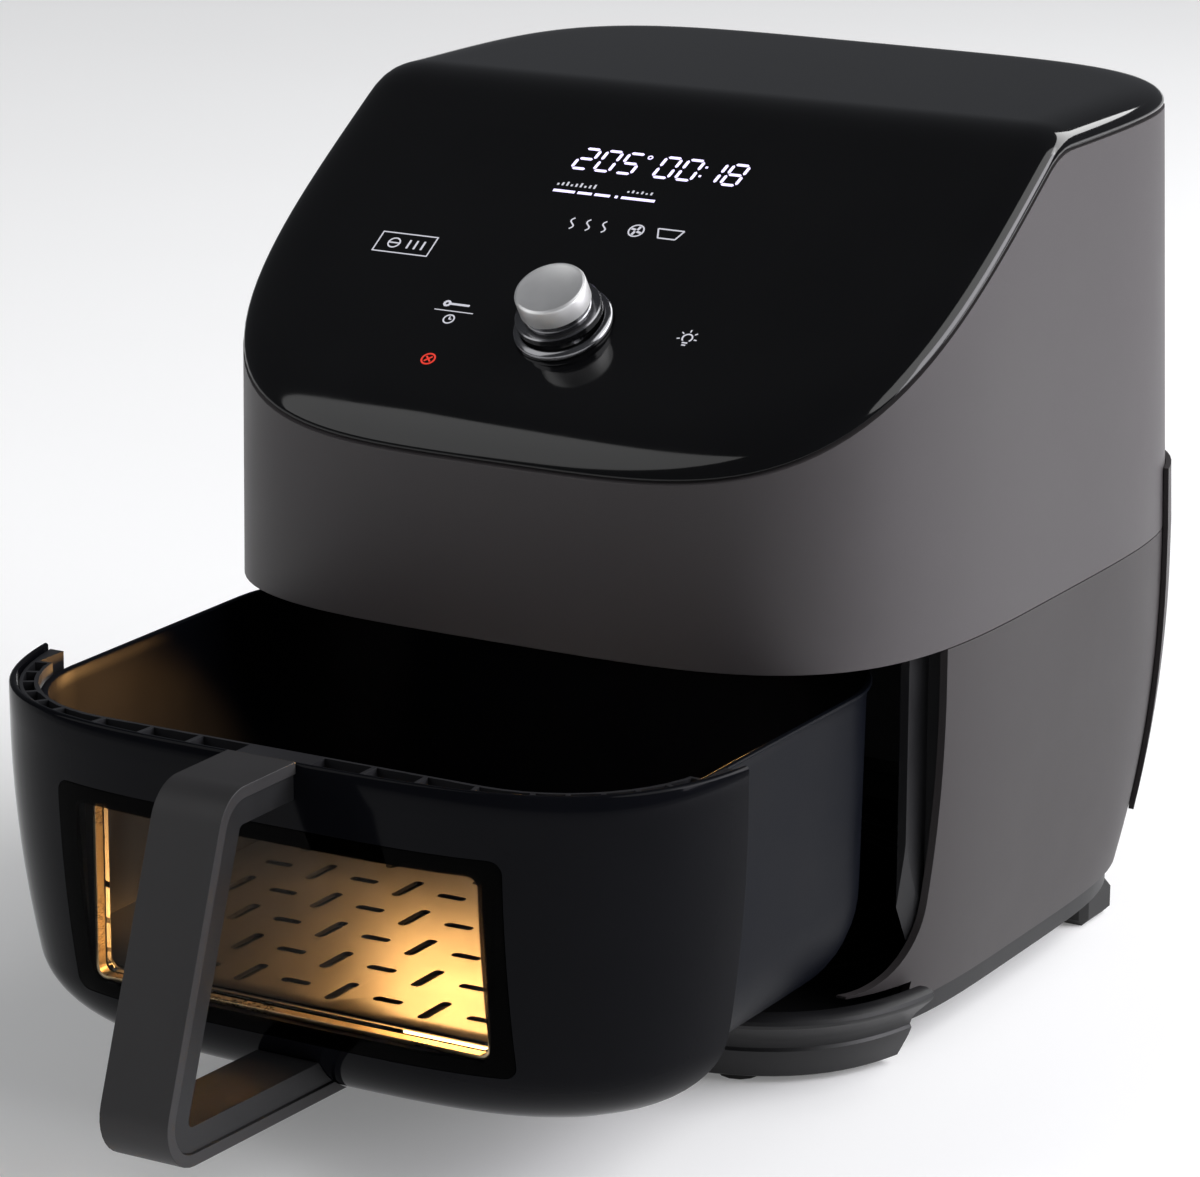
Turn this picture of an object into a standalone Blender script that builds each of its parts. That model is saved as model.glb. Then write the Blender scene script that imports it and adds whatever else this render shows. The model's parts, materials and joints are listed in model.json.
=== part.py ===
"""Air fryer with a pull-out basket drawer, modelled as separate pieces.

Metres, +X to the right, +Y to the back, +Z up. Every piece is drawn in the housing's frame,
whose origin is on the worktop under the middle of the housing. The housing_frame empty then
puts the part over its own origin, and the drawer_slide empty draws the drawer out.
"""
import math

import bmesh
import bpy
from mathutils import Matrix, Vector

# ---- driving dimensions -------------------------------------------------------------------
HALF_WIDTH = 0.1525          # housing plan: a superellipse, rounder at the front
HALF_DEPTH = 0.1658
FRONT_POWER = 3.87
BACK_POWER = 4.49
SEAM_Z = 0.1654              # joint between upper and lower housing
FRONT_TOP_Z = 0.2319         # housing's top edge at the front
TOP_Z = 0.336                # housing's top edge at the back
PANEL_TILT = math.radians(32.8)
PANEL_BEND_RADIUS = 0.035
PANEL_RISE = 0.0095          # control panel's height over the housing's top edge
PANEL_EDGE_WIDTH = 0.022
PANEL_FULLNESS = 0.75        # 1 gives the edge an elliptical section, less a fuller one
SHELL = 0.0028               # housing wall
GAP = 0.0003                 # clearance between touching pieces
TUCK_TOP_Z = 0.150           # below this the lower body draws in
TUCK_BOTTOM_Z = 0.022
TUCK_X = 0.013
TUCK_Y = 0.018
HOUSING_FOOT_Z = 0.0245      # lower edge of the lower housing
LEAN_X = 0.0025              # above the seam the sides lean in by this much up to the top edge
LEAN_BACK = 0.0125           # and the back by this much
OPENING_Y = -0.0885          # front edge of the lower housing's sides
DRAWER_OUT = 0.1522          # how far the drawer stands open
FASCIA_TOP_Z = 0.162
FASCIA_BOTTOM_Z = 0.0310
FASCIA_EDGE_Z = 0.0336       # the bottom rounding stops here, clear of the plinth's lip
FASCIA_BOTTOM_RADIUS = 0.028
FASCIA_SKIN = 0.0025
JAMB_RADIUS = 0.030          # lower corner of the drawer opening in the side view
BASKET_HALF_WIDTH = 0.1325
BASKET_FRONT_Y = -0.1465
BASKET_BACK_Y = 0.072
BASKET_TOP_Z = 0.156
BASKET_BOTTOM_Z = 0.036
BASKET_CORNER = 0.054
BASKET_ROUND_RUN = 0.034     # rounding of the basket's bottom: how far in, and how high
BASKET_ROUND_RISE = 0.042
BASKET_TAPER = 0.0015
BASKET_LIP = 0.002
STEEL = 0.0012
WINDOW_HALF_WIDTH = 0.0815   # sight window in the basket's front wall
WINDOW_LOW_Z = 0.0635
WINDOW_HIGH_Z = 0.1300
OUTER_GLASS_HALF_WIDTH = 0.0920
OUTER_GLASS_LOW_Z = 0.0560
OUTER_GLASS_HIGH_Z = 0.1380
HANDLE_WIDTH = 0.028
HANDLE_THICKNESS = 0.014
HANDLE_SPLIT = 0.0022        # joint of the two handle shells, out from the handle's middle line
DIAL_Y = -0.114              # dial centre on the sloping panel
FAN_Y = -0.030               # axis of motor and fans, over the closed basket
LINER_HALF_WIDTH = 0.1370
LINER_BACK_Y = 0.0900
LINER_TOP_Z = 0.1720
FLOOR_Z = 0.0195             # top of the base pan's floor
FOOT_HEIGHT = 0.0017

PANEL_BEND_Y = -HALF_DEPTH + (TOP_Z - FRONT_TOP_Z) / math.tan(PANEL_TILT)
PANEL_BEND_RUN = PANEL_BEND_RADIUS * math.tan(PANEL_TILT / 2)

# handle's middle line in the drawer's side view, as (y, z), from the top arm to the bottom arm
HANDLE_PATH = [(-0.1600, 0.1560), (-0.2037, 0.1560), (-0.2433, 0.0445), (-0.1300, 0.0405)]
HANDLE_BENDS = [0.0095, 0.0095]
COVER_PROUD = 0.0022         # rear cover over the housing's back
GLAND_REACH = 0.0070         # cord gland behind the rear cover
REAR_Y = HALF_DEPTH + COVER_PROUD + GLAND_REACH


# ---- scene helpers ------------------------------------------------------------------------
def start_scene():
    for old in list(bpy.data.objects):
        bpy.data.objects.remove(old, do_unlink=True)
    for name in ("air_fryer", "air_fryer_cutters"):
        collection = bpy.data.collections.new(name)
        bpy.context.scene.collection.children.link(collection)
        COLLECTIONS[name] = collection


def material(name, colour, roughness, metallic=0.0):
    made = bpy.data.materials.new(name)
    made.use_nodes = True
    shader = made.node_tree.nodes["Principled BSDF"]
    shader.inputs["Base Color"].default_value = (*colour, 1.0)
    shader.inputs["Roughness"].default_value = roughness
    shader.inputs["Metallic"].default_value = metallic
    made.diffuse_color = (*colour, 1.0)
    return made


def empty(name, parent=None, location=(0, 0, 0), tilt=0.0):
    made = bpy.data.objects.new(name, None)
    COLLECTIONS["air_fryer"].objects.link(made)
    made.parent = parent
    made.location = location
    made.rotation_euler = (tilt, 0.0, 0.0)
    return made


def place(obj, parent, look):
    """Make an object one of the air fryer's pieces."""
    COLLECTIONS["air_fryer"].objects.link(obj)
    obj.parent = parent
    obj.data.materials.clear()
    obj.data.materials.append(look)
    return obj


def hide_cutter(obj, parent):
    COLLECTIONS["air_fryer_cutters"].objects.link(obj)
    obj.parent = parent
    obj.hide_render = True
    obj.display_type = "WIRE"
    return obj


def combine(obj, operation, tool):
    """Boolean with a guide object that stays in the cutters' collection."""
    if not tool.users_collection:
        hide_cutter(tool, obj.parent)
    step = obj.modifiers.new(tool.name, "BOOLEAN")
    step.operation = operation
    step.object = tool
    step.solver = "EXACT"


def cut(obj, *tools):
    for tool in tools:
        combine(obj, "DIFFERENCE", tool)


def join(obj, *tools):
    for tool in tools:
        combine(obj, "UNION", tool)


def keep_inside(obj, tool):
    combine(obj, "INTERSECT", tool)


def mesh_object(name, bm, smooth_angle=None):
    bmesh.ops.recalc_face_normals(bm, faces=bm.faces)
    mesh = bpy.data.meshes.new(name)
    bm.to_mesh(mesh)
    bm.free()
    if smooth_angle is not None:
        mesh.shade_smooth()
        mesh.set_sharp_from_angle(angle=math.radians(smooth_angle))
    return bpy.data.objects.new(name, mesh)


# ---- shape helpers ------------------------------------------------------------------------
def box(name, low, high):
    bm = bmesh.new()
    bmesh.ops.create_cube(bm, size=1.0)
    size = [h - l for l, h in zip(low, high)]
    middle = [(h + l) / 2 for l, h in zip(low, high)]
    bmesh.ops.scale(bm, vec=size, verts=bm.verts)
    bmesh.ops.translate(bm, vec=middle, verts=bm.verts)
    return mesh_object(name, bm)


def rod(name, radius, start, end, sides=16, end_radius=None):
    """A cylinder, or a cone, from start to end."""
    start, end = Vector(start), Vector(end)
    bm = bmesh.new()
    turn = Vector((0, 0, 1)).rotation_difference(end - start).to_matrix().to_4x4()
    where = Matrix.Translation((start + end) / 2) @ turn
    bmesh.ops.create_cone(bm, cap_ends=True, segments=sides, radius1=radius,
                          radius2=radius if end_radius is None else end_radius,
                          depth=(end - start).length, matrix=where)
    return mesh_object(name, bm, 40)


def turned(name, profile, sides=32, centre=(0, 0, 0)):
    """A closed profile of (radius, z) points turned about an upright axis."""
    bm = bmesh.new()
    corners = [bm.verts.new((r, 0, z)) for r, z in profile]
    for first, second in zip(corners, corners[1:] + corners[:1]):
        bm.edges.new((first, second))
    mesh = bpy.data.meshes.new(name)
    bm.to_mesh(mesh)
    bm.free()
    obj = bpy.data.objects.new(name, mesh)
    obj.location = centre
    screw = obj.modifiers.new("turn", "SCREW")
    screw.steps = sides
    screw.render_steps = sides
    screw.use_merge_vertices = True
    screw.merge_threshold = 0.00001
    screw.use_smooth_shade = False
    return obj


def ring_profile(inner, outer, low, high):
    """Profile of a plain ring, down its outer side first."""
    return [(outer, high), (outer, low), (inner, low), (inner, high)]


def tube(name, points, radius, resolution=2):
    curve = bpy.data.curves.new(name, "CURVE")
    curve.dimensions = "3D"
    curve.bevel_depth = radius
    curve.bevel_resolution = resolution
    curve.use_fill_caps = True
    spline = curve.splines.new("POLY")
    spline.points.add(len(points) - 1)
    for knot, point in zip(spline.points, points):
        knot.co = (*point, 1.0)
    return bpy.data.objects.new(name, curve)


def prism(name, outline, half_width):
    """A closed (y, z) outline in the side view, evenly about the middle plane."""
    bm = bmesh.new()
    rows = [[bm.verts.new((x, y, z)) for y, z in outline] for x in (-half_width, half_width)]
    for row in rows:
        bm.faces.new(row)
    for i in range(len(outline)):
        j = (i + 1) % len(outline)
        bm.faces.new((rows[0][i], rows[0][j], rows[1][j], rows[1][i]))
    return mesh_object(name, bm)


def half_plan(front_steps=7, side_steps=12, back_steps=5, bend_steps=4):
    """Stations round the right half of a unit superellipse, front middle to back middle."""
    def across(u, power):
        return max(0.0, 1 - abs(u) ** power) ** (1 / power)

    front_corner = 2 ** (-1 / FRONT_POWER)
    back_corner = 2 ** (-1 / BACK_POWER)
    stations = []
    for step in range(front_steps):
        u = front_corner * math.sin(step / front_steps * math.pi / 2)
        stations.append((u, -across(u, FRONT_POWER)))
    middle = (back_corner - front_corner) / 2
    reach = (back_corner + front_corner) / 2
    sides = [middle - reach * math.cos(step / side_steps * math.pi) for step in range(side_steps + 1)]
    bend = (PANEL_BEND_Y / HALF_DEPTH, PANEL_BEND_RUN / HALF_DEPTH)
    sides = [v for v in sides if abs(v - bend[0]) > bend[1] * 1.3]
    sides += [bend[0] + bend[1] * (2 * step / bend_steps - 1) for step in range(bend_steps + 1)]
    for v in sorted(sides):
        stations.append((across(v, FRONT_POWER if v < 0 else BACK_POWER), v))
    for step in reversed(range(back_steps)):
        u = back_corner * math.sin(step / back_steps * math.pi / 2)
        stations.append((u, across(u, BACK_POWER)))
    return stations


def mirrored(half):
    """Close a right half, whose first and last points are on the middle plane."""
    return half + [(-x, y) for x, y in reversed(half[1:-1])]


def housing_ring(inset, height, stations=None):
    """The housing's plan drawn in by (x, y) insets, at a height or at a height over y."""
    a, b = HALF_WIDTH - inset[0], HALF_DEPTH - inset[1]
    ring = []
    for u, v in mirrored(stations or PLAN):
        z = height(v * b) if callable(height) else height
        lean = lean_share(z)
        ring.append(Vector((u * (a - LEAN_X * lean), v * (b - (LEAN_BACK * lean if v > 0 else 0.0)), z)))
    return ring


def lean_share(z):
    return max(0.0, z - SEAM_Z) / (TOP_Z - SEAM_Z)


def rounded_rectangle(half_width, front, back, radius, level, corner_steps=5):
    """A rounded rectangle's ring at a level, from the middle of its front edge."""
    half = [(0.0, front)]
    for corner_y, start in ((front + radius, -90), (back - radius, 0)):
        for step in range(corner_steps + 1):
            angle = math.radians(start + 90 * step / corner_steps)
            half.append((half_width - radius + radius * math.cos(angle),
                         corner_y + radius * math.sin(angle)))
    half.append((0.0, back))
    return [Vector((x, y, level)) for x, y in mirrored(half)]


def loft(name, rings, closed=False, smooth_angle=35):
    """Skin a row of rings. It is closed on itself, or capped across from side to side."""
    bm = bmesh.new()
    rows = [[bm.verts.new(point) for point in ring] for ring in rings]
    count = len(rows[0])
    pairs = list(zip(rows, rows[1:])) + ([(rows[-1], rows[0])] if closed else [])
    for lower, upper in pairs:
        for i in range(count):
            j = (i + 1) % count
            bm.faces.new((lower[i], lower[j], upper[j], upper[i]))
    if not closed:
        for row in (rows[0], rows[-1]):
            cap(bm, row)
    return mesh_object(name, bm, smooth_angle)


def cap(bm, row):
    """Fill a ring: one face if it is level, else strips that join each point to its mirror image."""
    if max(corner.co.z for corner in row) - min(corner.co.z for corner in row) < GAP:
        bm.faces.new(row)
        return
    count = len(row)
    for i in range(count // 2):
        corners = [row[i], row[i + 1], row[(count - i - 1) % count], row[(count - i) % count]]
        bm.faces.new(list(dict.fromkeys(corners)))


def tuck(z):
    """How far the lower body draws in at a height, in x and in y."""
    share = min(1.0, max(0.0, (TUCK_TOP_Z - z) / (TUCK_TOP_Z - TUCK_BOTTOM_Z))) ** 2
    return TUCK_X * share, TUCK_Y * share


def tucked(z, more=0.0):
    return tuck(z)[0] + more, tuck(z)[1] + more


def seam_height(y):
    """The housing's top edge: a slope, a rounded bend, then level."""
    bend_end = PANEL_BEND_Y + PANEL_BEND_RUN
    if y >= bend_end:
        return TOP_Z
    if y <= PANEL_BEND_Y - PANEL_BEND_RUN * math.cos(PANEL_TILT):
        return FRONT_TOP_Z + (y + HALF_DEPTH) * math.tan(PANEL_TILT)
    return TOP_Z - PANEL_BEND_RADIUS + math.sqrt(PANEL_BEND_RADIUS ** 2 - (y - bend_end) ** 2)


def front_y(x, inset=(0.0, 0.0)):
    """Front of the housing's plan at x."""
    a, b = HALF_WIDTH - inset[0], HALF_DEPTH - inset[1]
    return -b * (1 - abs(x / a) ** FRONT_POWER) ** (1 / FRONT_POWER)


def offset_path(path, bends, offset, steps=4):
    """The handle's middle line moved outwards by offset, with rounded bends."""
    sides = []
    for (y0, z0), (y1, z1) in zip(path, path[1:]):
        along = Vector((y1 - y0, z1 - z0)).normalized()
        out = Vector((along.y, -along.x)) * -1
        sides.append((Vector((y0, z0)) - out * offset, along))
    points = [sides[0][0]]
    for (start, along), (after, turn), bend in zip(sides, sides[1:], bends):
        cross = along.x * turn.y - along.y * turn.x
        corner = start + along * (((after - start).x * turn.y - (after - start).y * turn.x) / cross)
        radius = bend + offset
        angle = math.acos(along.dot(turn))
        run = radius * math.tan(angle / 2)
        inward = Vector((-along.y, along.x))
        centre = corner - along * run + inward * radius
        for step in range(steps + 1):
            swing = angle * step / steps
            arm = -inward * math.cos(swing) + along * math.sin(swing)
            points.append(centre + arm * radius)
    start, along = sides[-1]
    points.append(start + along * (Vector(path[-1]) - start).dot(along))
    return points


def housing_core(name, low, high, more=SHELL + GAP):
    """Solid of the space inside the housing's walls, to trim pieces that meet them."""
    levels = [low + (high - low) * step / 8 for step in range(9)]
    return loft(name, [housing_ring(tucked(z, more), z) for z in levels])


# ---- housing ------------------------------------------------------------------------------
def make_upper_housing():
    shell = loft("upper_housing", [
        housing_ring((0.0, 0.0), SEAM_Z),
        housing_ring((0.0, 0.0), seam_height),
        housing_ring((SHELL, SHELL), seam_height),
        housing_ring((SHELL, SHELL), SEAM_Z)], closed=True)
    place(shell, HOUSING, MATTE)
    cut(shell, box("vent_opening", (-0.062, 0.14, 0.2182), (0.062, 0.18, 0.2718)))


def jamb_curve(back, low, steps=6):
    """Rounded lower corner of the drawer opening, from its floor up to its upright edge."""
    turns = [math.radians(90 * step / steps) for step in range(steps + 1)]
    return [(back - JAMB_RADIUS * (1 - math.sin(a)), low + JAMB_RADIUS * (1 - math.cos(a))) for a in turns]


def make_lower_housing():
    levels = [SEAM_Z - GAP, TUCK_TOP_Z, 0.125, 0.100, 0.077, 0.057, 0.039, HOUSING_FOOT_Z]
    outside = [housing_ring(tucked(z), z) for z in levels]
    inside = [housing_ring(tucked(z, SHELL), z) for z in reversed(levels)]
    shell = loft("lower_housing", outside + inside, closed=True)
    place(shell, HOUSING, MATTE)
    foot = 0.0335
    corner = [(OPENING_Y, 0.0), (OPENING_Y, foot), (OPENING_Y - JAMB_RADIUS, foot)]
    way = [(-0.2, 0.0)] + corner + jamb_curve(OPENING_Y, foot + 0.001) + [(OPENING_Y, 0.2), (-0.2, 0.2)]
    cut(shell, prism("drawer_opening", way, 0.2))


def make_front_frame():
    """Black portal round the drawer opening, behind the upper housing's apron."""
    frame = box("front_frame", (-0.150, -0.100, 0.040), (0.150, -0.081, 0.1690))
    place(frame, HOUSING, BLACK)
    cut(frame, box("portal_way", (-0.1355, -0.2, 0.0), (0.1355, 0.0, 0.1640)))
    for side in (-1, 1):
        x = sorted((side * 0.1390, side * 0.2))
        cut(frame, box("portal_step", (x[0], -0.2, 0.0), (x[1], -0.084, 0.2)))
    keep_inside(frame, housing_core("portal_trim", 0.030, 0.180, SHELL + 2 * GAP))


def make_base_pan():
    """Floor with locating rings, and the front plinth with its lip and foot skirt."""
    def level(inset, z):
        return housing_ring((inset, inset * 1.3), z)

    outline = [(0.0060, 0.0328), (0.0025, 0.0318), (0.0018, 0.0298), (0.0035, 0.0270),
               (0.0085, 0.0215), (0.0105, 0.0165), (0.0100, 0.0155), (0.0148, 0.0035),
               (0.0172, 0.0020), (0.0300, 0.0020), (0.0300, 0.0190), (0.0115, 0.0190),
               (0.0095, 0.0328)]
    plinth = loft("base_pan", [level(inset, z) for inset, z in outline], closed=True)
    place(plinth, HOUSING, BLACK)
    cut(plinth, box("plinth_end", (-0.2, OPENING_Y - 0.0005, -0.1), (0.2, 0.2, 0.1)))
    floor_ring = [housing_ring((0.0175, 0.0225), z) for z in (0.0150, FLOOR_Z)]
    join(plinth, loft("pan_floor", floor_ring))
    for radius in (0.0900, 0.0977, 0.1099):
        ridge = ring_profile(radius - 0.0035, radius, FLOOR_Z - 0.002, FLOOR_Z + 0.0012)
        join(plinth, turned("pan_ridge", ridge, 28, (0, 0.005, 0)))


def make_feet():
    for side, name in ((-1, "left"), (1, "right")):
        x = side * 0.085
        pad = rod("foot_front_" + name, 0.008, (x, -0.1275, 0), (x, -0.1275, FOOT_HEIGHT), 12)
        place(pad, HOUSING, RUBBER)
        x = sorted((side * 0.113, side * 0.130))
        block = box("foot_rear_" + name, (x[0], 0.085, 0.0), (x[1], 0.112, 0.015 - GAP))
        place(block, HOUSING, RUBBER)
        slope = block.modifiers.new("edges", "BEVEL")
        slope.width = 0.003
        slope.segments = 1


def make_rear_cover():
    """Cover proud of the housing's back, over both shells."""
    levels = [0.0450, 0.0650, 0.0900, 0.1200, TUCK_TOP_Z, SEAM_Z, 0.1900]
    outside = [housing_ring(tucked(z, -COVER_PROUD), z) for z in levels]
    inside = [housing_ring(tucked(z, -GAP), z) for z in reversed(levels)]
    cover = loft("rear_cover", outside + inside, closed=True)
    place(cover, HOUSING, MATTE)
    cut(cover, box("cover_front", (-0.2, -0.2, 0.0), (0.2, 0.112, 0.3)))
    number = 0
    for x in (-0.105, 0.105):
        for z in (0.060, 0.178):
            number += 1
            back = back_y(x, tucked(z, -COVER_PROUD)) - LEAN_BACK * lean_share(z)
            head = rod("rear_screw_%d" % number, 0.0035, (x, back - 0.0012, z), (x, back + 0.0012, z), 8)
            place(head, HOUSING, STEEL_LOOK)
            cut(cover, rod("screw_seat", 0.0038, (x, back - 0.0016, z), (x, back + 0.01, z), 8))
    cut(cover, rod("gland_hole", 0.0083, (0.070, 0.12, 0.075), (0.070, 0.19, 0.075), 16))


def back_y(x, inset=(0.0, 0.0)):
    """Back of the housing's plan at x."""
    a, b = HALF_WIDTH - inset[0], HALF_DEPTH - inset[1]
    return b * (1 - abs(x / a) ** BACK_POWER) ** (1 / BACK_POWER)


def make_exhaust_grille():
    middle = Vector((0.0, HALF_DEPTH - LEAN_BACK * lean_share(0.2450), 0.2450))
    grille = box("exhaust_grille", (-0.0615, -0.0053, -0.0260), (0.0615, -0.0018, 0.0260))
    grille.data.transform(grille.matrix_basis)
    grille.matrix_basis = Matrix.Identity(4)
    lean = math.atan(LEAN_BACK / (TOP_Z - SEAM_Z))
    grille.data.transform(Matrix.Translation(middle) @ Matrix.Rotation(lean, 4, "X"))
    place(grille, HOUSING, BLACK)
    for row in range(5):
        z = 0.2250 + row * 0.0100
        cut(grille, box("vent_slot", (-0.056, 0.15, z - 0.0025), (0.056, 0.18, z + 0.0025)))


def make_cord_gland():
    """Strain bush that closes the cord's way out; its bore runs right through."""
    length = REAR_Y - 0.148
    flange = 0.0020
    profile = [(0.0080, 0.0), (0.0080, -length + flange), (0.0110, -length + flange),
               (0.0110, -length), (0.0038, -length), (0.0038, 0.0)]
    bush = turned("cord_gland", profile, 16, (0.070, REAR_Y, 0.075))
    bush.rotation_euler = (math.radians(-90), 0.0, 0.0)
    place(bush, HOUSING, RUBBER)
    wall = bpy.data.objects["lower_housing"]
    cut(wall, rod("gland_hole", 0.0083, (0.070, 0.1505, 0.075), (0.070, 0.19, 0.075), 16))


# ---- control panel and dial ---------------------------------------------------------------
def panel_ring(inset, rise):
    return housing_ring((inset, inset), lambda y: seam_height(y) + rise)


def make_control_panel():
    """Gloss cover that follows the slope and the bend, with a wide rounded edge."""
    steps = 6
    outside, inside = [], []
    for step in range(steps + 1):
        angle = math.radians(90 * step / steps)
        round_in = 1 - math.cos(angle) ** PANEL_FULLNESS
        climb = math.sin(angle) ** PANEL_FULLNESS
        rise = PANEL_RISE * climb
        outside.append(panel_ring(PANEL_EDGE_WIDTH * round_in, max(GAP, rise)))
        inset = 0.003 + (PANEL_EDGE_WIDTH - 0.003) * round_in
        inside.append(panel_ring(inset, max(GAP, (PANEL_RISE - 0.003) * climb)))
    panel = loft("control_panel", outside[::-1] + inside)
    place(panel, HOUSING, GLOSS)
    hole = hide_cutter(rod("dial_hole", 0.0048, (0, 0, -0.02), (0, 0, 0.02), 16), DIAL)
    combine(panel, "DIFFERENCE", hole)


def make_dial():
    """Turned in the dial's own frame: z is out of the panel's surface."""
    place(turned("dial_bezel", ring_profile(0.0105, 0.0195, GAP, 0.0032), 28), DIAL, DARK_CHROME)
    body = [(0.0126, 0.0140), (0.0126, 0.0085), (0.0165, 0.0080), (0.0168, 0.0050),
            (0.0034, 0.0050), (0.0034, 0.0140)]
    place(turned("dial_body", body, 28), DIAL, CHROME)
    cap = rod("dial_cap", 0.0140, (0, 0, 0.0143), (0, 0, 0.0195), 28, 0.0134)
    place(cap, DIAL, ALUMINIUM)
    place(rod("encoder_shaft", 0.0030, (0, 0, -0.0120), (0, 0, 0.0136), 12), DIAL, STEEL_LOOK)
    rotor = turned("encoder_rotor", ring_profile(0.0033, 0.0052, -0.0100, -0.0075), 12)
    place(rotor, DIAL, BLACK)
    case = box("encoder_body", (-0.0070, -0.0070, -0.0141), (0.0070, 0.0070, -0.0060))
    place(case, DIAL, BLACK)
    cut(case, rod("encoder_room", 0.0055, (0, 0, -0.0136), (0, 0, -0.0070), 12),
        rod("encoder_throat", 0.0033, (0, 0, -0.0080), (0, 0, 0.0), 12))
    board = box("display_board", (-0.060, -0.030, -0.0162), (0.060, 0.115, -0.0144))
    place(board, DIAL, BOARD)
    place(box("led_display", (-0.044, 0.046, -0.0141), (0.044, 0.102, -0.0050)), DIAL, LED)


# ---- cooking head -------------------------------------------------------------------------
def make_chamber_liner():
    """Steel box round the basket: open to the front and below, with a round hole on top."""
    wall = STEEL
    liner = box("chamber_liner", (-LINER_HALF_WIDTH, -0.140, 0.056), (LINER_HALF_WIDTH, LINER_BACK_Y, LINER_TOP_Z))
    place(liner, HOUSING, STEEL_LOOK)
    inner = LINER_HALF_WIDTH - wall
    cut(liner, box("liner_room", (-inner, -0.2, 0.0), (inner, LINER_BACK_Y - wall, LINER_TOP_Z - wall)))
    cut(liner, box("liner_front", (-0.2, -0.2, 0.0), (0.2, -0.0805, LINER_TOP_Z - wall)))
    cut(liner, rod("heater_hole", 0.1000, (0, FAN_Y, 0.16), (0, FAN_Y, 0.18), 32))
    cut(liner, rod("lens_hole", 0.0125, (LAMP_X, LAMP_Y, 0.16), (LAMP_X, LAMP_Y, 0.18), 12))
    keep_inside(liner, housing_core("liner_trim", 0.030, 0.190, SHELL + 2 * GAP))


def make_heater():
    low = LINER_TOP_Z + GAP
    roof = 0.2140
    dish = [(0.1080, low + 0.0008), (0.1080, low), (0.0985, low), (0.0985, roof - 0.0008),
            (0.0060, roof - 0.0008), (0.0060, roof), (0.0993, roof), (0.0993, low + 0.0008)]
    reflector = turned("heater_reflector", dish, 32, (0, FAN_Y, 0))
    place(reflector, HOUSING, STEEL_LOOK)
    place(turned("heat_shield", ring_profile(0.0090, 0.1060, 0.2165, 0.2175), 24, (0, FAN_Y, 0)),
          HOUSING, STEEL_LOOK)

    coil_z, inner, outer, turns, per_turn = 0.1870, 0.046, 0.086, 2, 16
    coil = []
    for step in range(turns * per_turn + 1):
        angle = 2 * math.pi * step / per_turn
        radius = inner + (outer - inner) * step / (turns * per_turn)
        coil.append((radius * math.cos(angle), FAN_Y + radius * math.sin(angle), coil_z))
    rise = (outer + 0.004, FAN_Y + 0.010)
    coil += [(*rise, coil_z + 0.004), (*rise, 0.2240)]
    place(tube("heating_element", coil, 0.0032, 1), HOUSING, ELEMENT)
    for name, piece in (("heater_way_dish", reflector), ("heater_way_shield", bpy.data.objects["heat_shield"])):
        cut(piece, rod(name, 0.0045, (*rise, 0.19), (*rise, 0.23), 10))

    guard = turned("element_guard", ring_profile(0.0930, 0.0970, 0.1745, 0.1765), 32, (0, FAN_Y, 0))
    place(guard, HOUSING, STEEL_LOOK)
    join(guard, turned("guard_ring", ring_profile(0.0460, 0.0490, 0.1745, 0.1765), 20, (0, FAN_Y, 0)))
    for step in range(4):
        bar = box("guard_bar", (-0.0945, -0.0012, 0.1750), (0.0945, 0.0012, 0.1772))
        bar.rotation_euler = (0, 0, math.radians(45 * step + 22.5))
        bar.location = (0, FAN_Y, 0)
        join(guard, bar)


def fan_wheel(name, radius, low, high, blades, look):
    """Disc, hub and upright blades joined into one wheel, in the fan's frame."""
    wheel = turned(name, ring_profile(0.0043, radius * 0.96, high - 0.0012, high), 24)
    place(wheel, FAN, look)
    join(wheel, turned(name + "_hub", ring_profile(0.0043, 0.0100, low, high - 0.0004), 12))
    for step in range(blades):
        blade = box(name + "_blade", (radius * 0.35, -0.0006, low + 0.0010), (radius, 0.0006, high - 0.0004))
        blade.rotation_euler = (0, 0, 2 * math.pi * step / blades)
        join(wheel, blade)
    return wheel


def make_motor():
    place(rod("motor_shaft", 0.0040, (0, 0, 0.1950), (0, 0, 0.2790), 12), FAN, STEEL_LOOK)
    fan_wheel("convection_fan", 0.078, 0.1965, 0.2085, 8, ALUMINIUM)
    fan_wheel("cooling_fan", 0.044, 0.2660, 0.2760, 7, BLACK)
    case = [(0.0120, 0.2620), (0.0300, 0.2600), (0.0320, 0.2580), (0.0320, 0.2270),
            (0.0300, 0.2250), (0.0045, 0.2250), (0.0045, 0.2620)]
    place(turned("fan_motor", case, 20, (0, FAN_Y, 0)), HOUSING, STEEL_LOOK)
    bracket = box("motor_bracket", (-0.105, FAN_Y - 0.014, 0.2230), (0.105, FAN_Y + 0.014, 0.2245))
    place(bracket, HOUSING, STEEL_LOOK)
    cut(bracket, rod("bracket_hole", 0.0060, (0, FAN_Y, 0.21), (0, FAN_Y, 0.23), 12))
    cut(bracket, rod("bracket_heater_way", 0.0060, (0.090, FAN_Y + 0.010, 0.21), (0.090, FAN_Y + 0.010, 0.23), 10))


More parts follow.
